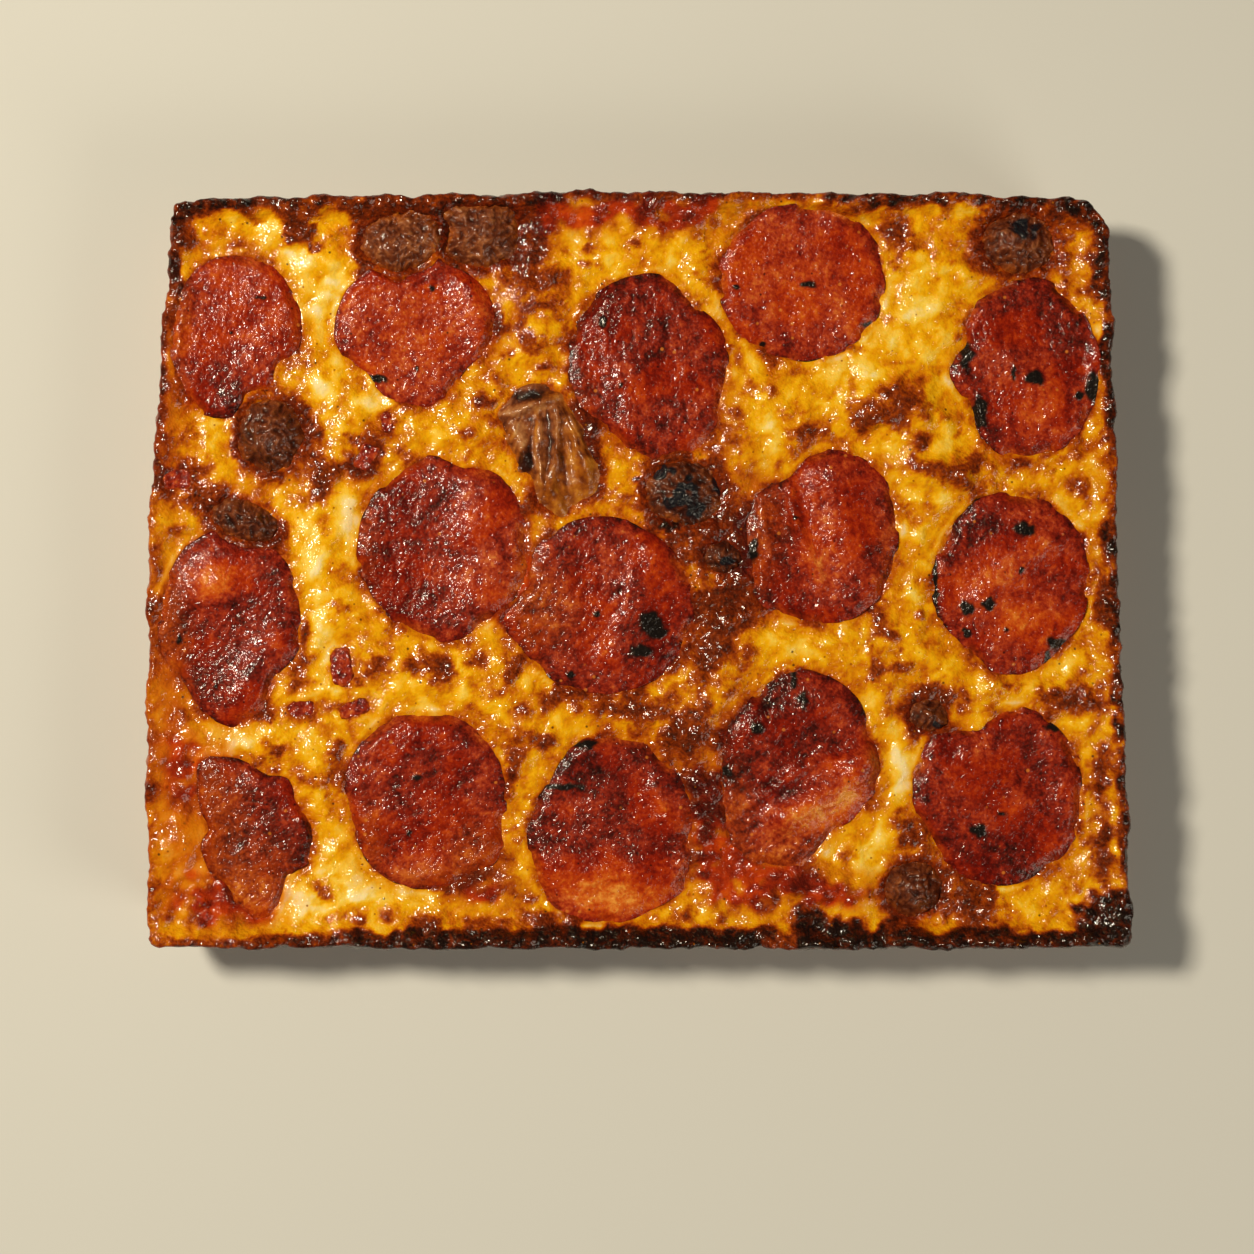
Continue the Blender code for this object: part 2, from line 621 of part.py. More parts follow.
def scrap_top(x, y, share, angle):
    return SCRAP_THICKNESS * np.sqrt(np.maximum(1.0 - share**6, 0.0)) + SCRAP_EDGE


def build_topping(piece, toppings, cheese_tree, sides_round, rings, top_of, look):
    made = flattened_ball(piece, toppings, sides_round, rings, top_of)
    rest_on(made, piece, cheese_tree)
    return finish(piece.name, made, look)


def main():
    for thing in bpy.data.objects[:]:
        bpy.data.objects.remove(thing)

    lumps, slices, mushroom, scraps = lay_out()
    toppings = lumps + slices + [mushroom] + scraps

    dough_look = material("baked_dough", (0.78, 0.55, 0.30), 0.75)
    cheese_look = material("browned_cheese", (0.91, 0.64, 0.14), 0.35)
    slice_look = material("pepperoni_meat", (0.60, 0.14, 0.07), 0.35)
    lump_look = material("browned_sausage", (0.29, 0.17, 0.10), 0.6)
    mushroom_look = material("roasted_mushroom", (0.55, 0.38, 0.20), 0.5)
    scrap_look = material("crisp_bacon", (0.50, 0.12, 0.08), 0.45)

    build_dough(dough_look)
    cheese = build_cheese(toppings, cheese_look)
    cheese_mesh = bmesh.new()
    cheese_mesh.from_mesh(cheese.data)
    cheese_tree = BVHTree.FromBMesh(cheese_mesh)
    cheese_mesh.free()

    for number, piece in enumerate(slices, 1):
        build_topping(piece, toppings, cheese_tree, SLICE_SIDES, SLICE_RINGS, slice_top(number), slice_look)
    for number, piece in enumerate(lumps, 1):
        top = lump_top(number, LUMPS[number - 1][5])
        build_topping(piece, toppings, cheese_tree, LUMP_SIDES, LUMP_RINGS, top, lump_look)
    build_topping(
        mushroom, toppings, cheese_tree, MUSHROOM_SIDES, MUSHROOM_RINGS, mushroom_top, mushroom_look
    )
    for piece in scraps:
        build_topping(piece, toppings, cheese_tree, SCRAP_SIDES, SCRAP_RINGS, scrap_top, scrap_look)


main()
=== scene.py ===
import math

import bmesh
import bpy
import numpy as np
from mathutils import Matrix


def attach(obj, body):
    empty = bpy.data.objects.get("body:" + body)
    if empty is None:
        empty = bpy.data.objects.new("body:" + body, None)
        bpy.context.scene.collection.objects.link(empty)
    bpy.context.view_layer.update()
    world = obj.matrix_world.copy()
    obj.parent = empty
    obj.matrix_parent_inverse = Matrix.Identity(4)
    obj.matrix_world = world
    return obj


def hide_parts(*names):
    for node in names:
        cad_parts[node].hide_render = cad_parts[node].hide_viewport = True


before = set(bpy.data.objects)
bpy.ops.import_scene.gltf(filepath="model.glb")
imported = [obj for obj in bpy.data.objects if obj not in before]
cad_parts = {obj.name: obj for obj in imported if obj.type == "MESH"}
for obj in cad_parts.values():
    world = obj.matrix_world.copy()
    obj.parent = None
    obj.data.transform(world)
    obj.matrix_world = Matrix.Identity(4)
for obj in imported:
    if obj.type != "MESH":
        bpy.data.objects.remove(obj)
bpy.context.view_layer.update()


# The slab of dough.
# Soft wheat dough, pressed into an oiled pan and baked in it. The pan's leaning wall
# shapes its sides, and its foot and underside fry to a golden brown crust.

LENGTH = 0.2560
WIDTH = 0.1970
PAN_LEAN = math.tan(math.radians(11.0))

# Corners of the outer edge from above: x, y and rounding
BACK_LEFT = (-0.1210, 0.0962, 0.0020)
BACK_RIGHT = (0.1218, 0.0968, 0.0110)
FRONT_RIGHT = (0.1274, -0.0974, 0.0030)
FRONT_LEFT = (-0.1272, -0.0975, 0.0030)

# How far each side bows out at its middle
BOW_LEFT = 0.0038
BOW_RIGHT = -0.0004
BOW_FRONT = 0.0004
BOW_BACK = 0.0018

# Heights above the underside, and the gap between dough and cheese
DOUGH_FOOT = 0.0028
DOUGH_TOP = 0.0190
CHEESE_TOP = 0.0252
LAYER_GAP = 0.0003

# The cheese skirt over the sides: its thickness, its lip's height, how far that wanders and how often
SKIRT_WALL = 0.0017
SKIRT_LIP = 0.0105
LIP_WANDER = 0.0030
LIP_WAVES = 9.0

# The rounded foot, ring after ring, as shares of its height
FOOT_LEVELS = [0.0, 0.12, 0.5, 1.0]
FOOT_INSETS = [0.75, 0.35, 0.08, 0.0]

# Relief of the baked sides: depth and spacing of the crags, then also the pores' seeds
COARSE_CRAG = (0.0008, 0.0130)
FINE_CRAG = (0.0004, 0.0055)
PORES = [(0.00035, 0.0030, 81), (0.00022, 0.0014, 82)]
NOISE_CELLS = 64

# What a measure that runs round the pizza gains along x and along y
ROUND_RUN = (0.83, 1.07)

# Steps of the mesh, how they crowd towards the corners, and rings up the sides
LONG_STEPS = 300
WIDE_STEPS = 232
CROWDING = 0.80
DOUGH_RINGS = 12

# Spacings of the crust's blotches and crumbs, and how high up its foot is fried
CRUST_BLOTCH = 0.011
CRUST_CRUMB = 0.0016
FRIED_FOOT = 0.009


def mix(start, end, share):
    """The value a share of the way from start to end."""
    return start + (end - start) * share


def smooth(value, low, high):
    """Rise softly from 0 at low to 1 at high."""
    share = np.clip((value - low) / (high - low), 0.0, 1.0)
    return share * share * (3.0 - 2.0 * share)


def ripple(x, y, spacing, seed):
    """Smooth random relief between about -1 and 1, with bumps the given spacing apart."""
    turns = np.random.default_rng(seed).uniform(0.0, 2.0 * np.pi, (NOISE_CELLS, NOISE_CELLS))
    across = np.asarray(x) / spacing + 0.37
    along = np.asarray(y) / spacing + 0.61
    column = np.floor(across).astype(int)
    row = np.floor(along).astype(int)
    right = across - column
    up = along - row

    def pull(step_x, step_y):
        turn = turns[(column + step_x) % NOISE_CELLS, (row + step_y) % NOISE_CELLS]
        return np.cos(turn) * (right - step_x) + np.sin(turn) * (up - step_y)

    ease_x = right**3 * (right * (right * 6.0 - 15.0) + 10.0)
    ease_y = up**3 * (up * (up * 6.0 - 15.0) + 10.0)
    low = mix(pull(0, 0), pull(1, 0), ease_x)
    high = mix(pull(0, 1), pull(1, 1), ease_x)
    return 1.5 * mix(low, high, ease_y)


def ripples(x, y, layers):
    """Layers of random relief on one another, each with its height, spacing and seed."""
    return sum(height * ripple(x, y, spacing, seed) for height, spacing, seed in layers)


def crags(along, height, seed):
    """Unevenness of a baked side."""
    coarse = COARSE_CRAG[0] * ripple(along, height, COARSE_CRAG[1], seed)
    return coarse + FINE_CRAG[0] * ripple(along, height, FINE_CRAG[1], seed + 1)


def side_line(along, first, last, axis, bow, height, seed, rough):
    """Where one side stands: a line from corner to corner that bows out, with crags."""
    other = 1 - axis
    share = np.clip((along - first[other]) / (last[other] - first[other]), 0.0, 1.0)
    straight = mix(first[axis], last[axis], share)
    return straight + bow * 4.0 * share * (1.0 - share) + rough * crags(along, height, seed)


def sides(x, y, height, rough=1.0):
    """The left, right, front and back sides level with a point."""
    left = side_line(y, FRONT_LEFT, BACK_LEFT, 0, -BOW_LEFT, height, 11, rough)
    right = side_line(y, FRONT_RIGHT, BACK_RIGHT, 0, BOW_RIGHT, height, 13, rough)
    front = side_line(x, FRONT_LEFT, FRONT_RIGHT, 1, -BOW_FRONT, height, 15, rough)
    back = side_line(x, BACK_LEFT, BACK_RIGHT, 1, BOW_BACK, height, 17, rough)
    return left, right, front, back


def round_corner(x, y, side_x, side_y, inward, radius):
    """Bend a square corner onto an arc, keeping each point's depth from the edge."""
    deep_x = (x - side_x) * inward[0]
    deep_y = (y - side_y) * inward[1]
    depth = np.minimum(deep_x, deep_y)
    reach = np.maximum(deep_x, deep_y)
    room = np.maximum(radius - depth, 1e-6)
    angle = math.pi / 4.0 * (1.0 - (reach - depth) / room)
    near = radius - room * np.cos(angle)
    far = radius - room * np.sin(angle)
    inside = reach < radius
    new_x = np.where(inside, np.where(deep_x < deep_y, near, far), deep_x)
    new_y = np.where(inside, np.where(deep_x < deep_y, far, near), deep_y)
    return side_x + new_x * inward[0], side_y + new_y * inward[1]


def place(u, v, inset, height, rough=1.0):
    """Carry a point of the square from -1 to 1 into plan, its border inset from the edge."""
    x = u * LENGTH / 2.0
    y = v * WIDTH / 2.0
    for _ in range(3):
        left, right, front, back = sides(x, y, height, rough)
        x = mix(left + inset, right - inset, (u + 1.0) / 2.0)
        y = mix(front + inset, back - inset, (v + 1.0) / 2.0)
    x, y = round_corner(x, y, left, back, (1, -1), BACK_LEFT[2])
    x, y = round_corner(x, y, right, back, (-1, -1), BACK_RIGHT[2])
    x, y = round_corner(x, y, right, front, (-1, 1), FRONT_RIGHT[2])
    return round_corner(x, y, left, front, (1, 1), FRONT_LEFT[2])


def lip_height(u, v):
    """The wavy lower lip of the cheese skirt, by the direction from the middle."""
    turn = np.arctan2(v, u)
    waver = ripple(LIP_WAVES * np.cos(turn), LIP_WAVES * np.sin(turn), 1.3, 41)
    return SKIRT_LIP + LIP_WANDER * waver


def lean(height):
    """How far a side has drawn in at a height, as the pan's wall leans."""
    return np.maximum(CHEESE_TOP - height, 0.0) * PAN_LEAN


def by_ring(ring, values):
    """The value listed for each ring, and the last one beyond the list."""
    return np.interp(ring, range(len(values)), values)


def run_round(x, y):
    """A measure that goes on along every side, for relief that runs round the pizza."""
    return x * ROUND_RUN[0] + y * ROUND_RUN[1]


def push_out(x, y, reach):
    """Move points away from the middle in plan."""
    share = 1.0 + reach / np.hypot(x, y)
    return x * share, y * share


def crowd(share):
    """Crowd even steps from -1 to 1 towards both ends."""
    return math.sin(share * CROWDING) / math.sin(CROWDING)


def add_marks(form):
    """Marks on a bmesh's vertices: their place in the square and their ring round it."""
    return [form.verts.layers.float.new(name) for name in ("u", "v", "ring")]


def grow_rings(form, border, count, ring_mark):
    """Extrude an open border ring after ring, counting the rings on the new vertices."""
    for ring in range(1, count + 1):
        grown = bmesh.ops.extrude_edge_only(form, edges=border)["geom"]
        for item in grown:
            if isinstance(item, bmesh.types.BMVert):
                item[ring_mark] = ring
        border = [item for item in grown if isinstance(item, bmesh.types.BMEdge)]
        border = [edge for edge in border if edge.is_boundary]
    return border


def mesh_of(form, name):
    """Turn a bmesh into a mesh."""
    mesh = bpy.data.meshes.new(name)
    form.to_mesh(mesh)
    form.free()
    return mesh


def read_marks(mesh):
    """The marks u, v and ring of a mesh's vertices as arrays."""
    for name in ("u", "v", "ring"):
        values = np.zeros(len(mesh.vertices), np.float32)
        mesh.attributes[name].data.foreach_get("value", values)
        yield values.astype(float)


def set_places(mesh, x, y, z):
    """Move a mesh's vertices."""
    mesh.vertices.foreach_set("co", np.stack([x, y, z], axis=1).astype(np.float32).ravel())
    mesh.update()


def linear(code):
    """An sRGB hex colour as linear red, green, blue and alpha."""
    channels = [int(code[start : start + 2], 16) / 255.0 for start in (1, 3, 5)]
    bent = [c / 12.92 if c <= 0.04045 else ((c + 0.055) / 1.055) ** 2.4 for c in channels]
    return (*bent, 1.0)


def join(tree, kind, settings, inputs):
    """Add a shader node with its settings; an input is a value or another node's output."""
    node = tree.nodes.new(kind)
    for name, value in settings.items():
        if name == "stops":
            ramp = node.color_ramp
            while len(ramp.elements) < len(value):
                ramp.elements.new(0.5)
            for element, (where, code) in zip(ramp.elements, value):
                element.position = where
                element.color = linear(code)
        else:
            setattr(node, name, value)
    for name, value in inputs.items():
        if isinstance(value, bpy.types.NodeSocket):
            tree.links.new(value, node.inputs[name])
        else:
            node.inputs[name].default_value = value
    return node


def new_material(name, *marks):
    """A material, its tree and shader, object coordinates and the mesh's marks as values."""
    made = bpy.data.materials.new(name)
    made.use_nodes = True
    tree = made.node_tree
    where = join(tree, "ShaderNodeTexCoord", {}, {}).outputs["Object"]
    read = [join(tree, "ShaderNodeAttribute", {"attribute_name": mark}, {}) for mark in marks]
    values = [node.outputs["Fac"] for node in read]
    return made, tree, tree.nodes["Principled BSDF"], where, *values


def set_surface(tree, shader, colour, grain, strength, relief, values):
    """Give a shader its colour, a fine relief from its grain, and constant values."""
    bump = join(tree, "ShaderNodeBump", {}, {"Height": grain, "Strength": strength, "Distance": relief})
    tree.links.new(colour, shader.inputs["Base Color"])
    tree.links.new(bump.outputs["Normal"], shader.inputs["Normal"])
    for name, value in values.items():
        shader.inputs[name].default_value = value


def put(name, mesh, look, slot, *nodes):
    """Place a finished mesh in the frame as the piece that stands for some nodes."""
    mesh.materials.append(look)
    mesh.shade_smooth()
    piece = bpy.data.objects.new(name, mesh)
    bpy.context.scene.collection.objects.link(piece)
    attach(piece, "root")
    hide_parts(*nodes)


def baked_dough():
    """Baked wheat crust: dry and matt, fried darker at the foot, with small pores."""
    made, tree, shader, where = new_material("baked_dough")
    blotch = join(tree, "ShaderNodeTexNoise", {}, {
        "Vector": where, "Scale": 1 / CRUST_BLOTCH, "Detail": 4.0})
    crumb = join(tree, "ShaderNodeTexNoise", {}, {
        "Vector": where, "Scale": 1 / CRUST_CRUMB, "Detail": 3.0})
    height = join(tree, "ShaderNodeSeparateXYZ", {}, {"Vector": where})
    foot = join(tree, "ShaderNodeMapRange", {}, {
        "Value": height.outputs["Z"], "From Min": 0.0, "From Max": FRIED_FOOT,
        "To Min": 0.34, "To Max": 0.0})
    mottle = join(tree, "ShaderNodeMath", {"operation": "MULTIPLY_ADD"}, {
        0: crumb.outputs["Fac"], 1: 0.45, 2: foot.outputs["Result"]})
    toast = join(tree, "ShaderNodeMath", {"operation": "MULTIPLY_ADD"}, {
        0: blotch.outputs["Fac"], 1: 0.62, 2: mottle.outputs["Value"]})
    colour = join(tree, "ShaderNodeValToRGB", {"stops": [
        (0.30, "#E9C083"), (0.46, "#CF9148"), (0.62, "#A8652A"), (0.80, "#6C3715"), (0.95, "#37190A")]},
        {"Fac": toast.outputs["Value"]})
    set_surface(tree, shader, colour.outputs["Color"], crumb.outputs["Fac"], 0.6, 0.0006, {
        "Roughness": 0.68})
    return made


slab = bmesh.new()
u_mark, v_mark, ring_mark = add_marks(slab)
stations = []
sides_round = ((LONG_STEPS, 1), (WIDE_STEPS, 1), (LONG_STEPS, -1), (WIDE_STEPS, -1))
for side, (steps, towards) in enumerate(sides_round):
    for step in range(steps):
        along = towards * crowd(2.0 * step / steps - 1.0)
        stations.append([(along, -1.0), (1.0, along), (along, 1.0), (-1.0, along)][side])
rim = bmesh.ops.create_circle(slab, cap_ends=True, radius=1.0, segments=len(stations))["verts"]
rim.sort(key=lambda vert: math.atan2(vert.co.y, vert.co.x) % (2.0 * math.pi))
for vert, (u, v) in zip(rim, stations):
    vert[u_mark] = u
    vert[v_mark] = v
top_edge = grow_rings(slab, slab.edges[:], DOUGH_RINGS + 2, ring_mark)
bmesh.ops.contextual_create(slab, geom=top_edge)
bmesh.ops.recalc_face_normals(slab, faces=slab.faces[:])
dough_mesh = mesh_of(slab, "crust_slab")

u, v, ring = read_marks(dough_mesh)
lip = lip_height(u, v) - LAYER_GAP * 0.3
climb = np.clip((ring - 3.0) / (DOUGH_RINGS - 3.0), 0.0, 1.0)
z = np.where(ring < 3.0, by_ring(ring, FOOT_LEVELS) * DOUGH_FOOT, mix(DOUGH_FOOT, lip, climb))
z = np.where(ring > DOUGH_RINGS + 1.5, DOUGH_TOP, z)
hidden = ring > DOUGH_RINGS + 0.5
inset = lean(z) + by_ring(ring, FOOT_INSETS) * DOUGH_FOOT + np.where(hidden, SKIRT_WALL + LAYER_GAP, 0.0)
x, y = place(u, v, inset, z, np.where(hidden, 0.0, 1.0))
pores = np.where(hidden | (z <= 0.0), 0.0, ripples(run_round(x, y), z, PORES))
x, y = push_out(x, y, pores)
set_places(dough_mesh, x, y, z)
put("crust_slab", dough_mesh, baked_dough(), "baked_dough", "crust")


# The toppings' places.
# Sliced pepperoni, sausage pinched into lumps, a slice of mushroom and scraps of bacon
# are laid on the raw cheese by hand, so no two lie alike and some lie against others.

# Outlines: directions, steps along each, spacing of their unevenness as a share of the radius,
# and layers of raggedness as depth, spacing and seed
DIRECTIONS = 216
RAY_STEPS = 90
UNEVEN_SPACING = 0.7
RAGGED = [(0.00034, 0.0095, 49), (0.00024, 0.0046, 50), (0.00012, 0.0019, 51)]

# How square a scrap is: 2 is an oval, and more is squarer
SQUARENESS = 4.0

# Clearances from the pizza's edge and from one another, and how softly its sides meet
EDGE_MARGIN = 0.0022
SIDE_GAP = 0.0003
CORNER_BLEND = 0.0040

# Slices: centre, half sizes and turn, then dents: direction in degrees, depth, and spread in degrees
SLICES = [
    (-0.1052, 0.0620, 0.0176, 0.0206, 0, [(-38, -0.0045, 20), (-112, 0.0030, 22)]),
    (-0.0585, 0.0630, 0.0213, 0.0192, 0, [(-140, -0.0034, 16), (-84, 0.0012, 22), (-38, -0.0034, 20)]),
    (0.0022, 0.0536, 0.0214, 0.0242, 0, [(-128, -0.0030, 22), (-58, 0.0024, 24), (52, -0.0022, 18)]),
    (0.0423, 0.0752, 0.0221, 0.0204, 0, [(140, 0.0012, 24), (40, 0.0006, 25), (12, -0.0008, 10)]),
    (0.1005, 0.0530, 0.0193, 0.0240, 0, [(215, -0.0022, 20), (188, 0.0010, 12), (158, -0.0022, 10)]),
    (-0.0512, 0.0061, 0.0224, 0.0250, 0, [(78, -0.0032, 13), (-60, -0.0020, 22)]),
    (-0.0090, -0.0090, 0.0236, 0.0240, 0, [(-80, -0.0010, 25), (60, -0.0012, 25), (178, 0.0050, 24)]),
    (0.0476, 0.0090, 0.0202, 0.0228, 0, [(50, 0.0016, 22), (230, 0.0026, 22), (118, -0.0040, 15)]),
    (0.0966, -0.0032, 0.0209, 0.0243, 0, [(232, -0.0022, 20), (-50, -0.0016, 22)]),
    (-0.1066, -0.0144, 0.0190, 0.0262, 0, [(-48, -0.0040, 20), (-128, -0.0030, 24)]),
    (-0.0562, -0.0594, 0.0217, 0.0235, 0, [(-40, 0.0026, 20), (200, -0.0015, 22)]),
    (-0.0078, -0.0668, 0.0220, 0.0250, 0, [(140, -0.0028, 22), (-130, 0.0014, 22), (-40, 0.0024, 14)]),
    (0.0414, -0.0520, 0.0212, 0.0272, 0, [
        (-62, -0.0064, 26), (-30, -0.0014, 16), (228, 0.0026, 20), (120, -0.0020, 22)]),
    (0.0932, -0.0580, 0.0226, 0.0240, 0, [(107, -0.0062, 15), (215, -0.0010, 22)]),
    (-0.1000, -0.0680, 0.0152, 0.0216, 17, [
        (128, 0.0042, 11), (84, -0.0042, 18), (38, -0.0026, 16),
        (-52, -0.0056, 20), (-85, 0.0026, 10), (172, -0.0034, 16)]),
]

# Lumps: centre, half sizes, turn and height
LUMPS = [
    (-0.0622, 0.0858, 0.0120, 0.0084, 12, 0.0055),
    (-0.0418, 0.0880, 0.0116, 0.0102, 0, 0.0062),
    (0.0985, 0.0852, 0.0106, 0.0086, 0, 0.0058),
    (-0.0962, 0.0355, 0.0096, 0.0108, 0, 0.0060),
    (-0.1025, 0.0133, 0.0104, 0.0060, -20, 0.0045),
    (0.0114, 0.0205, 0.0114, 0.0092, -8, 0.0050),
    (0.0213, 0.0040, 0.0056, 0.0048, 0, 0.0038),
    (0.0712, -0.0823, 0.0086, 0.0081, 0, 0.0060),
    (0.0752, -0.0374, 0.0060, 0.0050, 0, 0.0042),
]

# The mushroom slice: centre, half sizes, turn and thickness, then its dents
MUSHROOM = (-0.0235, 0.0310, 0.0115, 0.0180, 20, 0.0020)
MUSHROOM_DENTS = [
    (112, 0.0014, 14), (80, 0.0012, 12), (16, -0.0014, 16), (-32, 0.0022, 18), (-79, 0.0010, 12),
    (-128, -0.0040, 24), (-170, -0.0014, 14), (143, 0.0016, 9),
]

# Scraps: centre, half sizes and turn
SCRAPS = [
    (-0.0778, -0.0252, 0.0030, 0.0052, 3),
    (-0.0884, -0.0358, 0.0042, 0.0023, 6),
    (-0.0742, -0.0356, 0.0043, 0.0023, 21),
    (-0.0712, 0.0300, 0.0028, 0.0046, -28),
    (-0.0660, 0.0388, 0.0016, 0.0031, 10),
    (-0.1205, 0.0240, 0.0040, 0.0028, 8),
]


def edge_depth(x, y):
    """How far inside the outer edge a point lies, and the four sides' share of its rim."""
    left, right, front, back = sides(x, y, CHEESE_TOP)
    gaps = np.stack([x - left, right - x, y - front, back - y])
    depth = gaps.min(axis=0)
    radius = BACK_RIGHT[2]
    beside, behind = gaps[1], gaps[3]
    in_corner = (beside < radius) & (behind < radius)
    depth = np.where(in_corner, radius - np.hypot(radius - beside, radius - behind), depth)
    weights = np.exp(-gaps / CORNER_BLEND)
    return depth, weights / weights.sum(axis=0)


def bell(value, width):
    """1 where a value is 0, falling softly to both sides."""
    return np.exp(-((value / width) ** 2))


class Topping:
    """A piece that lies on the cheese, with its outline as a radius in each direction."""

    def __init__(self, name, x, y, half_x, half_y, turn, dents=(), uneven=0.05, seed=0, square=2.0):
        self.name = name
        self.x = x
        self.y = y
        self.angles = np.arange(DIRECTIONS) * 2.0 * np.pi / DIRECTIONS
        across = np.abs(np.cos(self.angles - math.radians(turn))) / half_x
        along = np.abs(np.sin(self.angles - math.radians(turn))) / half_y
        self.radii = (across**square + along**square) ** (-1.0 / square)
        waver = ripple(np.cos(self.angles), np.sin(self.angles), UNEVEN_SPACING, seed)
        self.radii *= 1.0 + uneven * waver
        rim_x, rim_y = self.radii * np.cos(self.angles), self.radii * np.sin(self.angles)
        for depth, spacing, step in RAGGED:
            self.radii += depth * ripple(rim_x, rim_y, spacing, seed + step)
        for direction, depth, spread in dents:
            off = (np.degrees(self.angles) - direction + 180.0) % 360.0 - 180.0
            self.radii += depth * bell(off, spread)

    def radius(self, angle):
        """How far the outline lies from the centre in a direction."""
        return np.interp(np.mod(angle, 2.0 * np.pi), self.angles, self.radii, period=2.0 * np.pi)

    def outside(self, x, y):
        """How far a point lies outside the outline, along the line from the centre."""
        angle = np.arctan2(y - self.y, x - self.x)
        return np.hypot(x - self.x, y - self.y) - self.radius(angle)

    def trim(self, earlier):
        """Pull the outline back from the outer edge and from pieces laid before."""
        for index, angle in enumerate(self.angles):
            steps = np.linspace(0.0, 1.0, RAY_STEPS) * self.radii[index]
            x = self.x + steps * math.cos(angle)
            y = self.y + steps * math.sin(angle)
            blocked = edge_depth(x, y)[0] < EDGE_MARGIN
            for other in earlier:
                blocked |= other.outside(x, y) < SIDE_GAP
            if blocked.any():
                self.radii[index] = steps[max(int(np.argmax(blocked)) - 1, 0)]


lumps = [
    Topping(f"sausage_lump_{n}", *row[:5], uneven=0.08, seed=200 + n)
    for n, row in enumerate(LUMPS, 1)
]
slices = [
    Topping(f"pepperoni_{n:02d}", *row, uneven=0.024, seed=300 + n)
    for n, row in enumerate(SLICES, 1)
]
mushroom = Topping("mushroom_slice", *MUSHROOM[:5], MUSHROOM_DENTS, uneven=0.10, seed=401)
scraps = [
    Topping(f"meat_scrap_{n}", *row, uneven=0.12, seed=500 + n, square=SQUARENESS)
    for n, row in enumerate(SCRAPS, 1)
]
toppings = []
for topping in lumps + slices + [mushroom] + scraps:
    topping.trim(toppings)
    toppings.append(topping)


# The cap of cheese.
# Brick cheese, strewn over the dough right to the pan's wall and baked until it flows.
# Inside it stays yellow and soft, where it meets the pan it fries into a dark, crisp
# rim and skirt, and fat from the meat tints it orange.

# How far the rim rises at each side, how wide its top is, how far it reaches in, its rounding
RIM_RISES = {"left": 0.0010, "right": 0.0026, "front": 0.0034, "back": 0.0030}
RIM_TOP = 0.0012
RIM_REACH = 0.0075
RIM_ROUND = 0.0011

# Soft waves: height and spacing
COARSE_WAVE = (0.0008, 0.0440)
FINE_WAVE = (0.0004, 0.0200)

# How the cheese swells away from the toppings, and how high it wets their sides
SWELL = 0.0012
SWELL_REACH = 0.0080
MENISCUS = 0.0006

# Rings down the skirt, and its rounded shoulder, ring after ring, as shares of the rounding
SKIRT_RINGS = 16
SHOULDER_DROPS = [0.0, 0.10, 0.45, 1.0]
SHOULDER_INSETS = [1.0, 0.55, 0.15, 0.0]

# Relief of the fried skirt: height and spacing of its beads, drips and swells
SKIRT_BEAD = (0.00045, 0.0038)
SKIRT_DRIP = (0.00040, 0.0021)
SKIRT_SWELL = (0.00025, 0.0062)

# Levels of toasting, where 0 is cream and 1 is charcoal, and how far blisters pass brown
PLAIN_CHEESE = 0.285
FRIED_SKIRT = 0.78
BROWN = 0.50
BROWN_SPAN = 0.24

# How far ragged borders stray: reach, spacing and the two seeds
CHEESE_STRAY = [(0.0015, 0.0065, 71, 73), (0.0008, 0.0027, 72, 74)]
GLAZE_STRAY = [(0.0016, 0.0060, 61, 62)]

# Relief of the cheese: height and spacing of its soft folds and waves, curds and bubbles
SOFT_FOLD = (0.00042, 0.0085)
SOFT_WAVE = (0.00038, 0.0052)
SMALL_WAVE = (0.00020, 0.0027)
CURD = (0.00045, 0.0048)
SOFT_BUBBLE = (0.00030, 0.0030)

# The same where it browns, where sauce lies in it and along its rim
BIG_BLISTER = (0.00120, 0.0042)
SMALL_BLISTER = (0.00075, 0.0022)
SAUCE_LUMP = (0.00130, 0.0036)
SAUCE_WAVE = (0.00060, 0.0022)
RIM_BEAD = (0.00066, 0.0031)
RIM_WAVE = (0.00036, 0.0019)
RIM_DIP = 0.00030

# How far it browns round lumps, round slices and in from the pan's wall, how far off a
# slice's border the pale line lies where it pulled away, and how far out fat collects
LUMP_HALO = 0.0016
SLICE_HALO = 0.0020
WALL_HALO = 0.0045
PULLED_LINE = 0.0007
FAT_REACH = 0.0020

# Spacings of the mottling and the grain, and the browned specks:
# spacing, radius, share left bare and colour
CHEESE_MOTTLE = 0.0032
CHEESE_GRAIN = 0.0010
CHEESE_SPECKS = [(0.0024, 0.16, 0.66, "#9A5208"), (0.0040, 0.11, 0.60, "#40200C")]

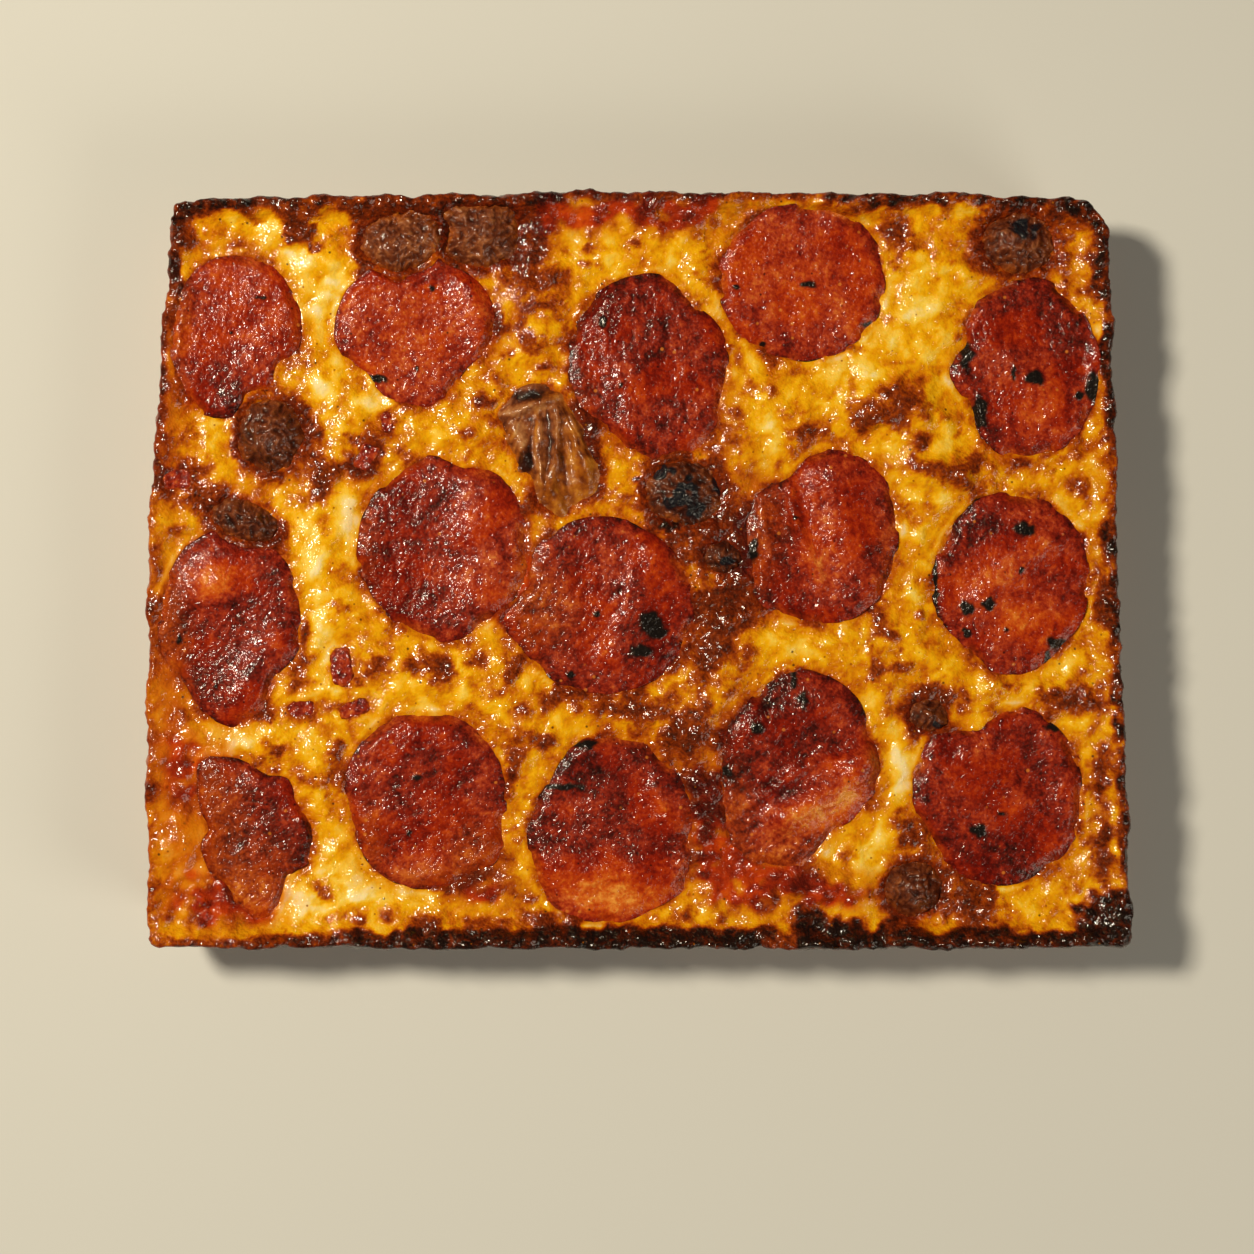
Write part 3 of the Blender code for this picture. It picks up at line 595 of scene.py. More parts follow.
# Swells of the cheese: line from x, y to x, y, half width and rise
CHEESE_SWELLS = [
    (0.0620, 0.0430, 0.0730, 0.0410, 0.0060, 0.0020), (0.0730, 0.0270, 0.0830, 0.0250, 0.0045, 0.0022),
    (0.0660, 0.0480, 0.0680, 0.0440, 0.0022, 0.0012), (0.0720, 0.0420, 0.0735, 0.0385, 0.0018, 0.0010),
    (0.0700, 0.0345, 0.0740, 0.0335, 0.0014, 0.0012), (0.0770, 0.0285, 0.0790, 0.0262, 0.0018, 0.0011),
    (0.0835, 0.0265, 0.0845, 0.0235, 0.0018, 0.0011), (0.0620, 0.0410, 0.0600, 0.0385, 0.0018, 0.0009),
    (-0.0884, 0.0883, -0.0884, 0.0883, 0.0042, 0.0012), (0.0923, -0.0290, 0.0923, -0.0290, 0.0030, 0.0016),
    (-0.1183, -0.0711, -0.1183, -0.0711, 0.0060, 0.0016),
    (-0.0250, 0.0730, -0.0250, 0.0600, 0.0060, 0.0010), (0.0190, -0.0170, 0.0210, -0.0350, 0.0070, 0.0010),
    (-0.0200, 0.0905, 0.0150, 0.0905, 0.0050, 0.0008), (0.0420, -0.0830, 0.0580, -0.0840, 0.0050, 0.0010),
    (0.1215, -0.0920, 0.1215, -0.0920, 0.0060, 0.0028),
    (-0.0855, -0.0835, -0.0855, -0.0835, 0.0030, 0.0010),
    (0.0230, -0.0600, 0.0160, -0.0720, 0.0040, 0.0008), (-0.0524, 0.0925, -0.0520, 0.0830, 0.0036, 0.0024),
    (-0.0160, 0.0400, -0.0120, 0.0270, 0.0030, 0.0010),
]

# Browned spots, two of them partly painted shade beside sausage lumps: centre, half sizes and how much
TOASTED = [
    (-0.0885, 0.0885, 0.0045, 0.0028, 0.55), (-0.0855, 0.0845, 0.0030, 0.0015, 0.35),
    (-0.1180, 0.0865, 0.0030, 0.0045, 0.50), (-0.0960, 0.0935, 0.0180, 0.0016, 0.25),
    # The spot at x -0.0290, y 0.0850 is partly a painted shadow cast to the right of a sausage lump, and
    # partly browning.
    (-0.0700, 0.0935, 0.0120, 0.0020, 0.25), (-0.0290, 0.0850, 0.0050, 0.0100, 0.38),
    (-0.0280, 0.0745, 0.0085, 0.0040, 0.24), (-0.0170, 0.0765, 0.0040, 0.0020, 0.20),
    (-0.0290, 0.0595, 0.0034, 0.0026, 0.42), (-0.0350, 0.0570, 0.0020, 0.0015, 0.30),
    (-0.0245, 0.0525, 0.0030, 0.0013, 0.55), (-0.0375, 0.0650, 0.0025, 0.0070, 0.30),
    (-0.0420, 0.0455, 0.0030, 0.0030, 0.35), (-0.0460, 0.0365, 0.0040, 0.0025, 0.25),
    (-0.0600, 0.0360, 0.0035, 0.0020, 0.20), (-0.0140, 0.0360, 0.0050, 0.0100, 0.40),
    (-0.0120, 0.0220, 0.0050, 0.0040, 0.22), (-0.0220, 0.0180, 0.0050, 0.0040, 0.22),
    # The spot at x -0.0835, y 0.0400 is partly painted shade beside a sausage lump's dome, and partly
    # browned fat.
    (-0.0835, 0.0400, 0.0035, 0.0080, 0.20), (-0.0835, 0.0205, 0.0032, 0.0042, 0.45),
    (-0.0790, 0.0270, 0.0025, 0.0040, 0.30), (-0.0900, 0.0550, 0.0036, 0.0030, 0.24),
    (-0.1190, 0.0320, 0.0060, 0.0045, 0.14), (-0.1130, 0.0185, 0.0045, 0.0035, 0.40),
    (-0.1180, 0.0175, 0.0040, 0.0020, 0.30), (-0.0620, 0.0310, 0.0040, 0.0022, 0.35),
    (-0.0735, 0.0265, 0.0030, 0.0035, 0.38), (-0.0130, 0.0845, 0.0026, 0.0015, 0.45),
    (-0.0140, 0.0805, 0.0022, 0.0011, 0.45), (-0.0010, 0.0850, 0.0016, 0.0015, 0.42),
    (0.0050, 0.0865, 0.0030, 0.0020, 0.30), (0.0660, 0.0880, 0.0050, 0.0035, 0.40),
    (0.0720, 0.0830, 0.0040, 0.0040, 0.16), (0.0875, 0.0860, 0.0030, 0.0075, 0.35),
    (0.0905, 0.0785, 0.0035, 0.0030, 0.32), (0.1115, 0.0900, 0.0040, 0.0030, 0.36),
    (0.1175, 0.0800, 0.0022, 0.0080, 0.34), (0.0345, 0.0465, 0.0016, 0.0016, 0.42),
    (0.0550, 0.0485, 0.0018, 0.0030, 0.36), (0.0665, 0.0540, 0.0035, 0.0014, 0.26),
    (0.0440, 0.0365, 0.0040, 0.0030, 0.42), (0.0360, 0.0285, 0.0020, 0.0018, 0.28),
    (0.0690, 0.0455, 0.0065, 0.0040, 0.32), (0.0735, 0.0340, 0.0030, 0.0020, 0.50),
    (0.0560, 0.0385, 0.0045, 0.0022, 0.34), (0.0790, 0.0255, 0.0075, 0.0038, 0.28),
    (0.0800, 0.0400, 0.0030, 0.0030, 0.20), (0.0985, 0.0285, 0.0055, 0.0022, 0.30),
    (0.1135, 0.0220, 0.0030, 0.0020, 0.36), (0.1165, 0.0180, 0.0020, 0.0034, 0.38),
    (0.1205, 0.0085, 0.0020, 0.0050, 0.40), (0.0235, 0.0120, 0.0060, 0.0060, 0.22),
    (0.0250, 0.0020, 0.0040, 0.0060, 0.28), (0.0300, 0.0140, 0.0026, 0.0080, 0.20),
    (0.0255, 0.0380, 0.0020, 0.0090, 0.24), (-0.0870, -0.0175, 0.0020, 0.0080, 0.34),
    (-0.0885, -0.0280, 0.0020, 0.0050, 0.32), (-0.0770, -0.0090, 0.0065, 0.0018, 0.36),
    (-0.0580, -0.0225, 0.0060, 0.0034, 0.26), (-0.0505, -0.0260, 0.0032, 0.0045, 0.24),
    (-0.0690, -0.0245, 0.0030, 0.0028, 0.52), (-0.0420, -0.0235, 0.0026, 0.0022, 0.50),
    (-0.0335, -0.0260, 0.0020, 0.0030, 0.60), (-0.0375, -0.0315, 0.0024, 0.0018, 0.44),
    (-0.0305, -0.0360, 0.0022, 0.0011, 0.60), (-0.0210, -0.0320, 0.0030, 0.0026, 0.60),
    (-0.0130, -0.0315, 0.0034, 0.0020, 0.46), (-0.0270, -0.0215, 0.0045, 0.0022, 0.32),
    (-0.0250, -0.0440, 0.0040, 0.0032, 0.36), (-0.0335, -0.0530, 0.0022, 0.0022, 0.34),
    (-0.0780, -0.0455, 0.0028, 0.0040, 0.30), (-0.0945, -0.0475, 0.0034, 0.0020, 0.30),
    (-0.0850, -0.0535, 0.0040, 0.0030, 0.16), (-0.0830, -0.0830, 0.0034, 0.0028, 0.42),
    (-0.1130, -0.0870, 0.0080, 0.0042, 0.12), (-0.0980, -0.0930, 0.0060, 0.0024, 0.20),
    (-0.0590, -0.0900, 0.0100, 0.0022, 0.22), (-0.0390, -0.0910, 0.0080, 0.0022, 0.24),
    (-0.0240, -0.0905, 0.0050, 0.0022, 0.30), (0.0155, -0.0080, 0.0040, 0.0100, 0.20),
    (0.0245, -0.0110, 0.0065, 0.0080, 0.38), (0.0175, -0.0220, 0.0060, 0.0050, 0.32),
    (0.0020, -0.0365, 0.0045, 0.0020, 0.44), (-0.0040, -0.0350, 0.0050, 0.0018, 0.30),
    (0.0115, -0.0425, 0.0060, 0.0060, 0.34), (0.0170, -0.0550, 0.0022, 0.0045, 0.20),
    (0.0185, -0.0660, 0.0032, 0.0090, 0.26), (0.0655, -0.0170, 0.0020, 0.0022, 0.48),
    (0.0620, -0.0110, 0.0022, 0.0024, 0.36), (0.0670, -0.0245, 0.0030, 0.0018, 0.50),
    (0.0615, -0.0255, 0.0020, 0.0034, 0.36), (0.0730, -0.0110, 0.0015, 0.0015, 0.50),
    (0.0755, -0.0310, 0.0060, 0.0030, 0.34), (0.0700, -0.0425, 0.0032, 0.0030, 0.30),
    (0.0850, -0.0335, 0.0036, 0.0030, 0.36), (0.0970, -0.0300, 0.0060, 0.0018, 0.28),
    (0.1130, -0.0335, 0.0045, 0.0030, 0.46), (0.1190, -0.0340, 0.0026, 0.0050, 0.48),
    (0.1205, -0.0080, 0.0022, 0.0070, 0.50), (0.1195, -0.0520, 0.0022, 0.0080, 0.34),
    (0.1205, -0.0720, 0.0024, 0.0070, 0.40), (0.0710, -0.0700, 0.0055, 0.0040, 0.34),
    (0.0880, -0.0860, 0.0055, 0.0060, 0.48), (0.0680, -0.0625, 0.0030, 0.0040, 0.26),
    (0.0540, -0.0735, 0.0030, 0.0020, 0.36), (0.0440, -0.0905, 0.0070, 0.0020, 0.50),
    (0.0080, -0.0905, 0.0050, 0.0020, 0.22),
]

# Creamy places that stayed pale: centre, half sizes and how much
PALE = [
    (-0.1185, -0.0660, 0.0050, 0.0070, 0.22), (-0.1170, -0.0760, 0.0040, 0.0040, 0.16),
    (-0.0900, -0.0870, 0.0060, 0.0050, 0.16),
    (-0.0790, 0.0700, 0.0016, 0.0090, 0.30), (-0.0880, 0.0830, 0.0050, 0.0020, 0.30),
    (-0.0700, -0.0850, 0.0120, 0.0040, 0.24), (-0.0840, -0.0870, 0.0060, 0.0040, 0.24),
    (0.0690, 0.0600, 0.0050, 0.0050, 0.22), (0.0710, 0.0780, 0.0050, 0.0060, 0.22),
    (-0.0835, 0.0655, 0.0022, 0.0050, 0.36), (-0.0812, 0.0765, 0.0020, 0.0055, 0.28),
    (-0.0720, 0.0440, 0.0040, 0.0022, 0.34), (-0.0655, 0.0482, 0.0050, 0.0018, 0.26),
    (-0.0790, 0.0530, 0.0022, 0.0040, 0.30), (-0.0960, 0.0875, 0.0050, 0.0016, 0.24),
    (-0.1000, 0.0895, 0.0085, 0.0030, 0.22), (-0.0925, 0.0840, 0.0060, 0.0030, 0.18),
    (-0.0905, 0.0795, 0.0030, 0.0050, 0.30), (-0.0860, 0.0720, 0.0030, 0.0062, 0.34),
    (-0.0835, 0.0490, 0.0022, 0.0065, 0.34), (-0.0815, 0.0420, 0.0022, 0.0055, 0.34),
    (-0.0700, 0.0465, 0.0060, 0.0032, 0.16), (-0.0600, 0.0400, 0.0060, 0.0030, 0.22),
    (-0.0960, 0.0175, 0.0032, 0.0040, 0.20), (-0.0880, 0.0120, 0.0036, 0.0060, 0.24),
    (-0.0850, 0.0000, 0.0045, 0.0100, 0.22), (-0.0760, 0.0180, 0.0022, 0.0055, 0.36),
    (-0.0760, 0.0090, 0.0020, 0.0060, 0.30), (-0.0820, -0.0180, 0.0030, 0.0060, 0.32),
    (-0.0835, -0.0255, 0.0020, 0.0045, 0.34), (-0.0580, -0.0285, 0.0045, 0.0020, 0.30),
    (-0.0468, -0.0260, 0.0014, 0.0060, 0.36), (-0.0380, -0.0150, 0.0022, 0.0030, 0.36),
    (-0.1045, -0.0440, 0.0040, 0.0030, 0.38), (-0.0350, -0.0650, 0.0030, 0.0045, 0.36),
    (-0.0905, -0.0780, 0.0026, 0.0085, 0.36), (-0.0950, -0.0920, 0.0045, 0.0026, 0.30),
    (-0.0740, -0.0820, 0.0100, 0.0060, 0.16), (-0.0560, -0.0865, 0.0100, 0.0030, 0.10),
    (0.0120, -0.0865, 0.0036, 0.0045, 0.30), (0.0160, -0.0770, 0.0012, 0.0030, 0.36),
    (-0.0080, 0.0810, 0.0045, 0.0032, 0.28), (0.0060, 0.0825, 0.0080, 0.0030, 0.12),
    (0.0700, 0.0690, 0.0060, 0.0090, 0.20), (0.0540, 0.0540, 0.0045, 0.0040, 0.28),
    (0.0620, 0.0520, 0.0030, 0.0030, 0.32), (0.0520, 0.0445, 0.0020, 0.0060, 0.28),
    (0.0335, 0.0345, 0.0055, 0.0045, 0.30), (0.0600, 0.0325, 0.0050, 0.0018, 0.26),
    (0.0785, 0.0480, 0.0020, 0.0050, 0.22), (0.0850, 0.0340, 0.0036, 0.0045, 0.20),
    (0.0970, 0.0250, 0.0080, 0.0020, 0.32), (0.0430, -0.0180, 0.0110, 0.0032, 0.24),
    (0.0600, -0.0330, 0.0030, 0.0030, 0.30), (0.0662, -0.0450, 0.0028, 0.0085, 0.36),
    (0.0678, -0.0560, 0.0022, 0.0080, 0.34), (0.0622, -0.0690, 0.0026, 0.0080, 0.32),
    (0.0600, -0.0765, 0.0040, 0.0026, 0.28), (0.0970, -0.0350, 0.0030, 0.0026, 0.42),
    (0.0885, -0.0285, 0.0020, 0.0018, 0.30), (0.1150, -0.0430, 0.0026, 0.0060, 0.26),
    (0.0480, -0.0740, 0.0060, 0.0028, 0.24), (0.0800, -0.0930, 0.0060, 0.0020, 0.20),
    (0.0620, -0.0930, 0.0060, 0.0020, 0.16),
]

# Wide stretches that browned in ragged patches, one of them partly painted shade beside a sausage lump:
# centre, half sizes and how far
BROWNED = [
    (-0.1270, 0.0300, 0.0060, 0.0480, 0.32), (-0.1280, -0.0350, 0.0050, 0.0500, 0.22),
    (-0.0845, 0.0255, 0.0050, 0.0095, 0.75), (-0.0890, 0.0420, 0.0040, 0.0060, 0.45),
    (-0.1165, 0.0235, 0.0095, 0.0052, 0.70), (-0.0310, 0.0680, 0.0085, 0.0110, 0.55),
    # The stretch at x -0.0285, y 0.0850 is partly a painted shadow cast to the right of a sausage lump, and
    # partly browning.
    (-0.0285, 0.0850, 0.0060, 0.0105, 0.95), (-0.0060, 0.0925, 0.0240, 0.0050, 0.40),
    (-0.0160, 0.0370, 0.0075, 0.0170, 0.90), (-0.0285, 0.0175, 0.0100, 0.0050, 0.65),
    (-0.0400, 0.0440, 0.0055, 0.0040, 0.60), (-0.0690, 0.0330, 0.0085, 0.0060, 0.70),
    (0.0130, 0.0120, 0.0160, 0.0120, 0.90), (0.0262, 0.0080, 0.0070, 0.0160, 0.72),
    (0.0250, 0.0340, 0.0045, 0.0080, 0.55), (0.0200, -0.0150, 0.0110, 0.0130, 0.80),
    (0.0110, -0.0400, 0.0130, 0.0110, 0.74), (0.0165, -0.0600, 0.0048, 0.0220, 0.72),
    (0.0380, -0.0840, 0.0190, 0.0075, 0.55), (-0.0060, -0.0345, 0.0120, 0.0040, 0.65),
    (-0.0560, -0.0235, 0.0105, 0.0060, 0.34), (-0.0520, -0.0260, 0.0050, 0.0055, 0.75),
    (0.0680, 0.0870, 0.0060, 0.0070, 0.75), (0.0890, 0.0800, 0.0060, 0.0080, 0.55),
    (0.0680, 0.0430, 0.0105, 0.0062, 0.90), (0.0780, 0.0268, 0.0110, 0.0055, 0.85),
    (0.0430, 0.0370, 0.0050, 0.0042, 0.85), (0.0560, 0.0400, 0.0080, 0.0050, 0.55),
    (0.0650, -0.0190, 0.0055, 0.0120, 0.62), (0.0760, -0.0340, 0.0095, 0.0065, 0.65),
    (0.1120, -0.0330, 0.0095, 0.0055, 0.68), (0.0860, -0.0850, 0.0075, 0.0075, 0.85),
    (0.0705, -0.0695, 0.0055, 0.0045, 0.70), (-0.0790, -0.0500, 0.0050, 0.0075, 0.50),
    (-0.0965, -0.0475, 0.0050, 0.0030, 0.55), (-0.1120, -0.0885, 0.0130, 0.0065, 0.46),
    (-0.0420, -0.0790, 0.0095, 0.0060, 0.75), (-0.0330, -0.0520, 0.0040, 0.0110, 0.60),
    (-0.0265, -0.0430, 0.0060, 0.0055, 0.72), (-0.0225, -0.0320, 0.0060, 0.0030, 0.70),
    (-0.0890, 0.0885, 0.0060, 0.0048, 0.75), (-0.1010, 0.0935, 0.0140, 0.0024, 0.50),
    (-0.0700, 0.0945, 0.0140, 0.0026, 0.55), (0.1175, 0.0770, 0.0040, 0.0120, 0.50),
    (0.1195, -0.0050, 0.0036, 0.0140, 0.60), (0.1200, -0.0620, 0.0036, 0.0240, 0.60),
    (0.0940, -0.0925, 0.0300, 0.0026, 0.45), (-0.0560, -0.0905, 0.0200, 0.0034, 0.50),
    (-0.0240, -0.0900, 0.0110, 0.0034, 0.60), (0.0080, -0.0900, 0.0120, 0.0030, 0.50),
    (-0.0380, 0.0510, 0.0030, 0.0030, 0.45), (0.0980, 0.0285, 0.0080, 0.0024, 0.45),
    (-0.0205, 0.0640, 0.0040, 0.0120, 0.45), (0.0610, -0.0600, 0.0030, 0.0200, 0.30),
]

# Dark blisters and burnt spots with a sharp border, one of them partly painted shade beside a sausage lump:
# centre, half sizes and how dark
SCORCHED = [
    (-0.0888, 0.0888, 0.0050, 0.0034, 0.72), (-0.0850, 0.0840, 0.0034, 0.0020, 0.62),
    (-0.1212, 0.0845, 0.0030, 0.0050, 0.84), (-0.0522, 0.0890, 0.0058, 0.0085, 0.80),
    # The spot at x -0.0310, y 0.0885 is partly a painted shadow cast to the right of a sausage lump, and
    # partly scorching.
    (-0.0620, 0.0950, 0.0130, 0.0022, 0.76), (-0.0310, 0.0885, 0.0034, 0.0075, 0.72),
    (-0.0720, 0.0830, 0.0022, 0.0060, 0.70), (0.0925, 0.0870, 0.0040, 0.0070, 0.62),
    (0.0070, 0.0118, 0.0028, 0.0019, 0.97), (-0.0008, 0.0243, 0.0014, 0.0012, 0.88),
    (0.0185, 0.0125, 0.0026, 0.0034, 0.74), (0.0240, 0.0100, 0.0026, 0.0040, 0.70),
    (0.1110, 0.0885, 0.0030, 0.0026, 0.56),
    (-0.0245, 0.0525, 0.0026, 0.0013, 0.68),
    (-0.0290, 0.0595, 0.0026, 0.0022, 0.60), (-0.0335, -0.0262, 0.0016, 0.0026, 0.66),
    (-0.0210, -0.0320, 0.0024, 0.0020, 0.68), (-0.0690, -0.0245, 0.0024, 0.0022, 0.62),
    (0.0670, -0.0245, 0.0024, 0.0014, 0.64), (0.0655, -0.0170, 0.0015, 0.0017, 0.64),
    (-0.0130, 0.0845, 0.0022, 0.0013, 0.62), (-0.0830, -0.0830, 0.0026, 0.0022, 0.58),
    (0.0985, 0.0790, 0.0070, 0.0026, 0.64), (0.0920, 0.0925, 0.0034, 0.0030, 0.66),
    (0.1075, 0.0850, 0.0030, 0.0050, 0.62),
]

# Charred stretches along the pan's wall: side (0 left, 1 right, 2 front, 3 back), middle,
# half length, how burnt, and how far in
RIM_CHAR = [
    (0, -0.0700, 0.0300, 0.08, 0.0018), (0, -0.0200, 0.0300, 0.14, 0.0018),
    (0, 0.0220, 0.0140, 0.34, 0.0018), (0, 0.0540, 0.0180, 0.56, 0.0022), (0, 0.0820, 0.0120, 0.86, 0.0040),
    (1, 0.0800, 0.0130, 0.95, 0.0044), (1, 0.0500, 0.0170, 0.92, 0.0036), (1, 0.0240, 0.0100, 0.44, 0.0022),
    (1, 0.0080, 0.0060, 0.88, 0.0040), (1, -0.0100, 0.0120, 0.70, 0.0030),
    (1, -0.0340, 0.0120, 0.76, 0.0036), (1, -0.0620, 0.0180, 0.72, 0.0030),
    (1, -0.0910, 0.0085, 1.05, 0.0092), (2, 0.1220, 0.0080, 1.00, 0.0072),
    (2, 0.1010, 0.0160, 0.92, 0.0042), (2, 0.0760, 0.0120, 0.96, 0.0048), (2, 0.0530, 0.0125, 1.02, 0.0068),
    (2, 0.0440, 0.0040, 0.96, 0.0110), (2, 0.0368, 0.0036, 0.52, 0.0044), (2, 0.0200, 0.0140, 0.98, 0.0052),
    (2, -0.0080, 0.0170, 0.98, 0.0054), (2, -0.0360, 0.0160, 0.88, 0.0048),
    (2, -0.0620, 0.0160, 0.84, 0.0046), (2, -0.0880, 0.0130, 0.62, 0.0034),
    (2, -0.1100, 0.0160, 0.42, 0.0022), (3, -0.1110, 0.0130, 0.92, 0.0050),
    (3, -0.0950, 0.0080, 0.72, 0.0040), (3, -0.0820, 0.0080, 0.62, 0.0038),
    (3, -0.0640, 0.0110, 0.52, 0.0030), (3, -0.0440, 0.0110, 0.66, 0.0036),
    (3, -0.0265, 0.0080, 0.86, 0.0040), (3, -0.0080, 0.0110, 0.56, 0.0026),
    (3, 0.0130, 0.0100, 0.56, 0.0026), (3, 0.0340, 0.0100, 0.50, 0.0022), (3, 0.0560, 0.0090, 0.84, 0.0038),
    (3, 0.0720, 0.0090, 0.80, 0.0038), (3, 0.0880, 0.0080, 0.60, 0.0028), (3, 0.1030, 0.0100, 0.92, 0.0046),
    (3, 0.1150, 0.0060, 0.95, 0.0056),
]

# Orange pools of melted fat: centre, half sizes and how deep
OILED = [
    (-0.1220, -0.0500, 0.0050, 0.0200, 0.80), (-0.1180, -0.0700, 0.0080, 0.0085, 0.60),
    (-0.1230, -0.0850, 0.0040, 0.0090, 0.60), (-0.1225, -0.0250, 0.0036, 0.0150, 0.70),
    (-0.1235, 0.0420, 0.0034, 0.0150, 0.80), (-0.1170, 0.0450, 0.0040, 0.0050, 0.50),
    (-0.1060, -0.0830, 0.0080, 0.0050, 0.45), (0.1190, 0.0250, 0.0036, 0.0100, 0.50),
    (0.0350, -0.0700, 0.0060, 0.0034, 0.40), (-0.1120, -0.0480, 0.0060, 0.0040, 0.55),
    (-0.0870, -0.0700, 0.0035, 0.0070, 0.35), (-0.0340, 0.0800, 0.0040, 0.0070, 0.30),
    (0.0240, 0.0000, 0.0060, 0.0120, 0.30), (0.1120, 0.0700, 0.0040, 0.0060, 0.20),
]

# Stretches where slices and cheese lie under one brown-orange glaze of fat
GLAZED = [
    (-0.1080, -0.0690, 0.0060, 0.0150, 0.75), (-0.1020, -0.0840, 0.0080, 0.0060, 0.60),
    (-0.1215, 0.0720, 0.0050, 0.0120, 0.60), (-0.1230, 0.0480, 0.0045, 0.0140, 0.70),
    (-0.1050, 0.0830, 0.0120, 0.0028, 0.50), (-0.0890, 0.0610, 0.0028, 0.0100, 0.45),
    (-0.1225, -0.0500, 0.0055, 0.0220, 0.70), (-0.1180, -0.0720, 0.0090, 0.0080, 0.25),
    (-0.1240, -0.0200, 0.0040, 0.0260, 0.70), (-0.1245, 0.0300, 0.0034, 0.0200, 0.60),
    (-0.1070, -0.0820, 0.0090, 0.0060, 0.65), (-0.0960, -0.0760, 0.0060, 0.0090, 0.40),
    (-0.1130, -0.0560, 0.0060, 0.0080, 0.60), (-0.0420, -0.0740, 0.0070, 0.0080, 0.70),
    (-0.0380, -0.0830, 0.0100, 0.0040, 0.60), (-0.0710, -0.0700, 0.0050, 0.0090, 0.45),
    (-0.0580, -0.0800, 0.0140, 0.0028, 0.45), (-0.0720, 0.0050, 0.0035, 0.0160, 0.40),
    (-0.0240, -0.0100, 0.0080, 0.0090, 0.40), (0.0340, -0.0770, 0.0120, 0.0050, 0.70),
    (0.0240, -0.0640, 0.0050, 0.0120, 0.60), (0.0320, 0.0150, 0.0060, 0.0150, 0.60),
    (0.0270, 0.0020, 0.0050, 0.0080, 0.50), (0.0140, -0.0720, 0.0026, 0.0150, 0.45),
    (-0.0160, 0.0400, 0.0040, 0.0090, 0.50), (0.0240, 0.0420, 0.0028, 0.0110, 0.50),
    (-0.1210, -0.0150, 0.0040, 0.0200, 0.60), (-0.0370, 0.0610, 0.0026, 0.0100, 0.35),
    (0.0620, -0.0500, 0.0030, 0.0100, 0.35), (0.0640, 0.0020, 0.0030, 0.0120, 0.30),
    (-0.0290, -0.0040, 0.0034, 0.0130, 0.90), (0.0470, -0.0700, 0.0090, 0.0030, 0.40),
]

# Dabs of cooked tomato sauce: centre, half sizes and how thick
SAUCED = [
    (-0.1120, -0.0800, 0.0100, 0.0080, 0.46), (-0.1060, -0.0890, 0.0130, 0.0040, 0.56),
    (-0.1205, -0.0525, 0.0050, 0.0070, 0.60), (-0.1190, -0.0440, 0.0050, 0.0040, 0.50),
    (-0.1170, -0.0560, 0.0050, 0.0080, 0.50), (-0.1100, -0.0480, 0.0060, 0.0040, 0.45),
    (-0.1000, -0.0850, 0.0060, 0.0060, 0.50),
    (-0.0225, 0.0925, 0.0050, 0.0060, 1.10), (-0.0060, 0.0945, 0.0140, 0.0034, 1.10),
    (0.0070, 0.0915, 0.0070, 0.0036, 1.00), (0.0175, 0.0935, 0.0050, 0.0045, 1.10),
    (-0.0130, 0.0900, 0.0060, 0.0026, 0.60), (0.0480, -0.0835, 0.0110, 0.0048, 1.10),
    (0.0270, -0.0850, 0.0060, 0.0040, 0.95), (0.0360, -0.0790, 0.0080, 0.0030, 0.80),
    (0.0245, -0.0740, 0.0050, 0.0070, 0.90), (-0.1090, -0.0830, 0.0100, 0.0062, 0.36),
    (-0.0400, -0.0835, 0.0065, 0.0030, 0.80), (0.0185, -0.0660, 0.0030, 0.0120, 0.85),
    (-0.0420, 0.0450, 0.0026, 0.0026, 0.50), (-0.0150, 0.0380, 0.0045, 0.0090, 0.45),
    (0.0290, 0.0120, 0.0040, 0.0110, 0.85), (0.0330, -0.0800, 0.0040, 0.0030, 0.60),
    (-0.1150, -0.0870, 0.0070, 0.0036, 0.35), (-0.0710, 0.0275, 0.0040, 0.0030, 0.50),
    (-0.0296, 0.0010, 0.0024, 0.0050, 0.90), (-0.0308, -0.0045, 0.0026, 0.0050, 1.00),
    (-0.0345, -0.0105, 0.0034, 0.0044, 0.90), (0.0270, 0.0040, 0.0026, 0.0060, 0.60),
    (0.0225, -0.0420, 0.0030, 0.0060, 0.60), (0.0250, -0.0330, 0.0030, 0.0040, 0.40),
    (0.0170, -0.0700, 0.0042, 0.0100, 0.90), (0.0235, -0.0765, 0.0050, 0.0060, 0.90),
    (0.0165, -0.0560, 0.0036, 0.0080, 0.80), (0.0200, -0.0830, 0.0030, 0.0040, 0.60),
]


def blisters(x, y, spacing, seed, least=0.22, most=0.62):
    """Round domes about a spacing apart: 0 between them and up to 1 at their tops."""
    draw = np.random.default_rng(seed)
    off_x, off_y, sizes = draw.uniform(0.0, 1.0, (3, NOISE_CELLS, NOISE_CELLS))
    across = np.asarray(x) / spacing
    along = np.asarray(y) / spacing
    column = np.floor(across).astype(int)
    row = np.floor(along).astype(int)
    tallest = np.zeros(np.shape(across))
    for step_x in (-1, 0, 1):
        for step_y in (-1, 0, 1):
            cell = ((column + step_x) % NOISE_CELLS, (row + step_y) % NOISE_CELLS)
            radius = mix(least, most, sizes[cell])
            aside = across - column - step_x - off_x[cell]
            ahead = along - row - step_y - off_y[cell]
            bulge = np.maximum(1.0 - (aside**2 + ahead**2) / radius**2, 0.0)
            tallest = np.maximum(tallest, np.sqrt(bulge) * radius / most)
    return tallest


def ridge(x, y, line, half_width, rise):
    """A rounded ridge over a line, or a bulge where both ends are one point."""
    x0, y0, x1, y1 = line
    length = max((x1 - x0) ** 2 + (y1 - y0) ** 2, 1e-12)
    share = np.clip(((x - x0) * (x1 - x0) + (y - y0) * (y1 - y0)) / length, 0.0, 1.0)
    return rise * bell(np.hypot(x - mix(x0, x1, share), y - mix(y0, y1, share)), half_width)


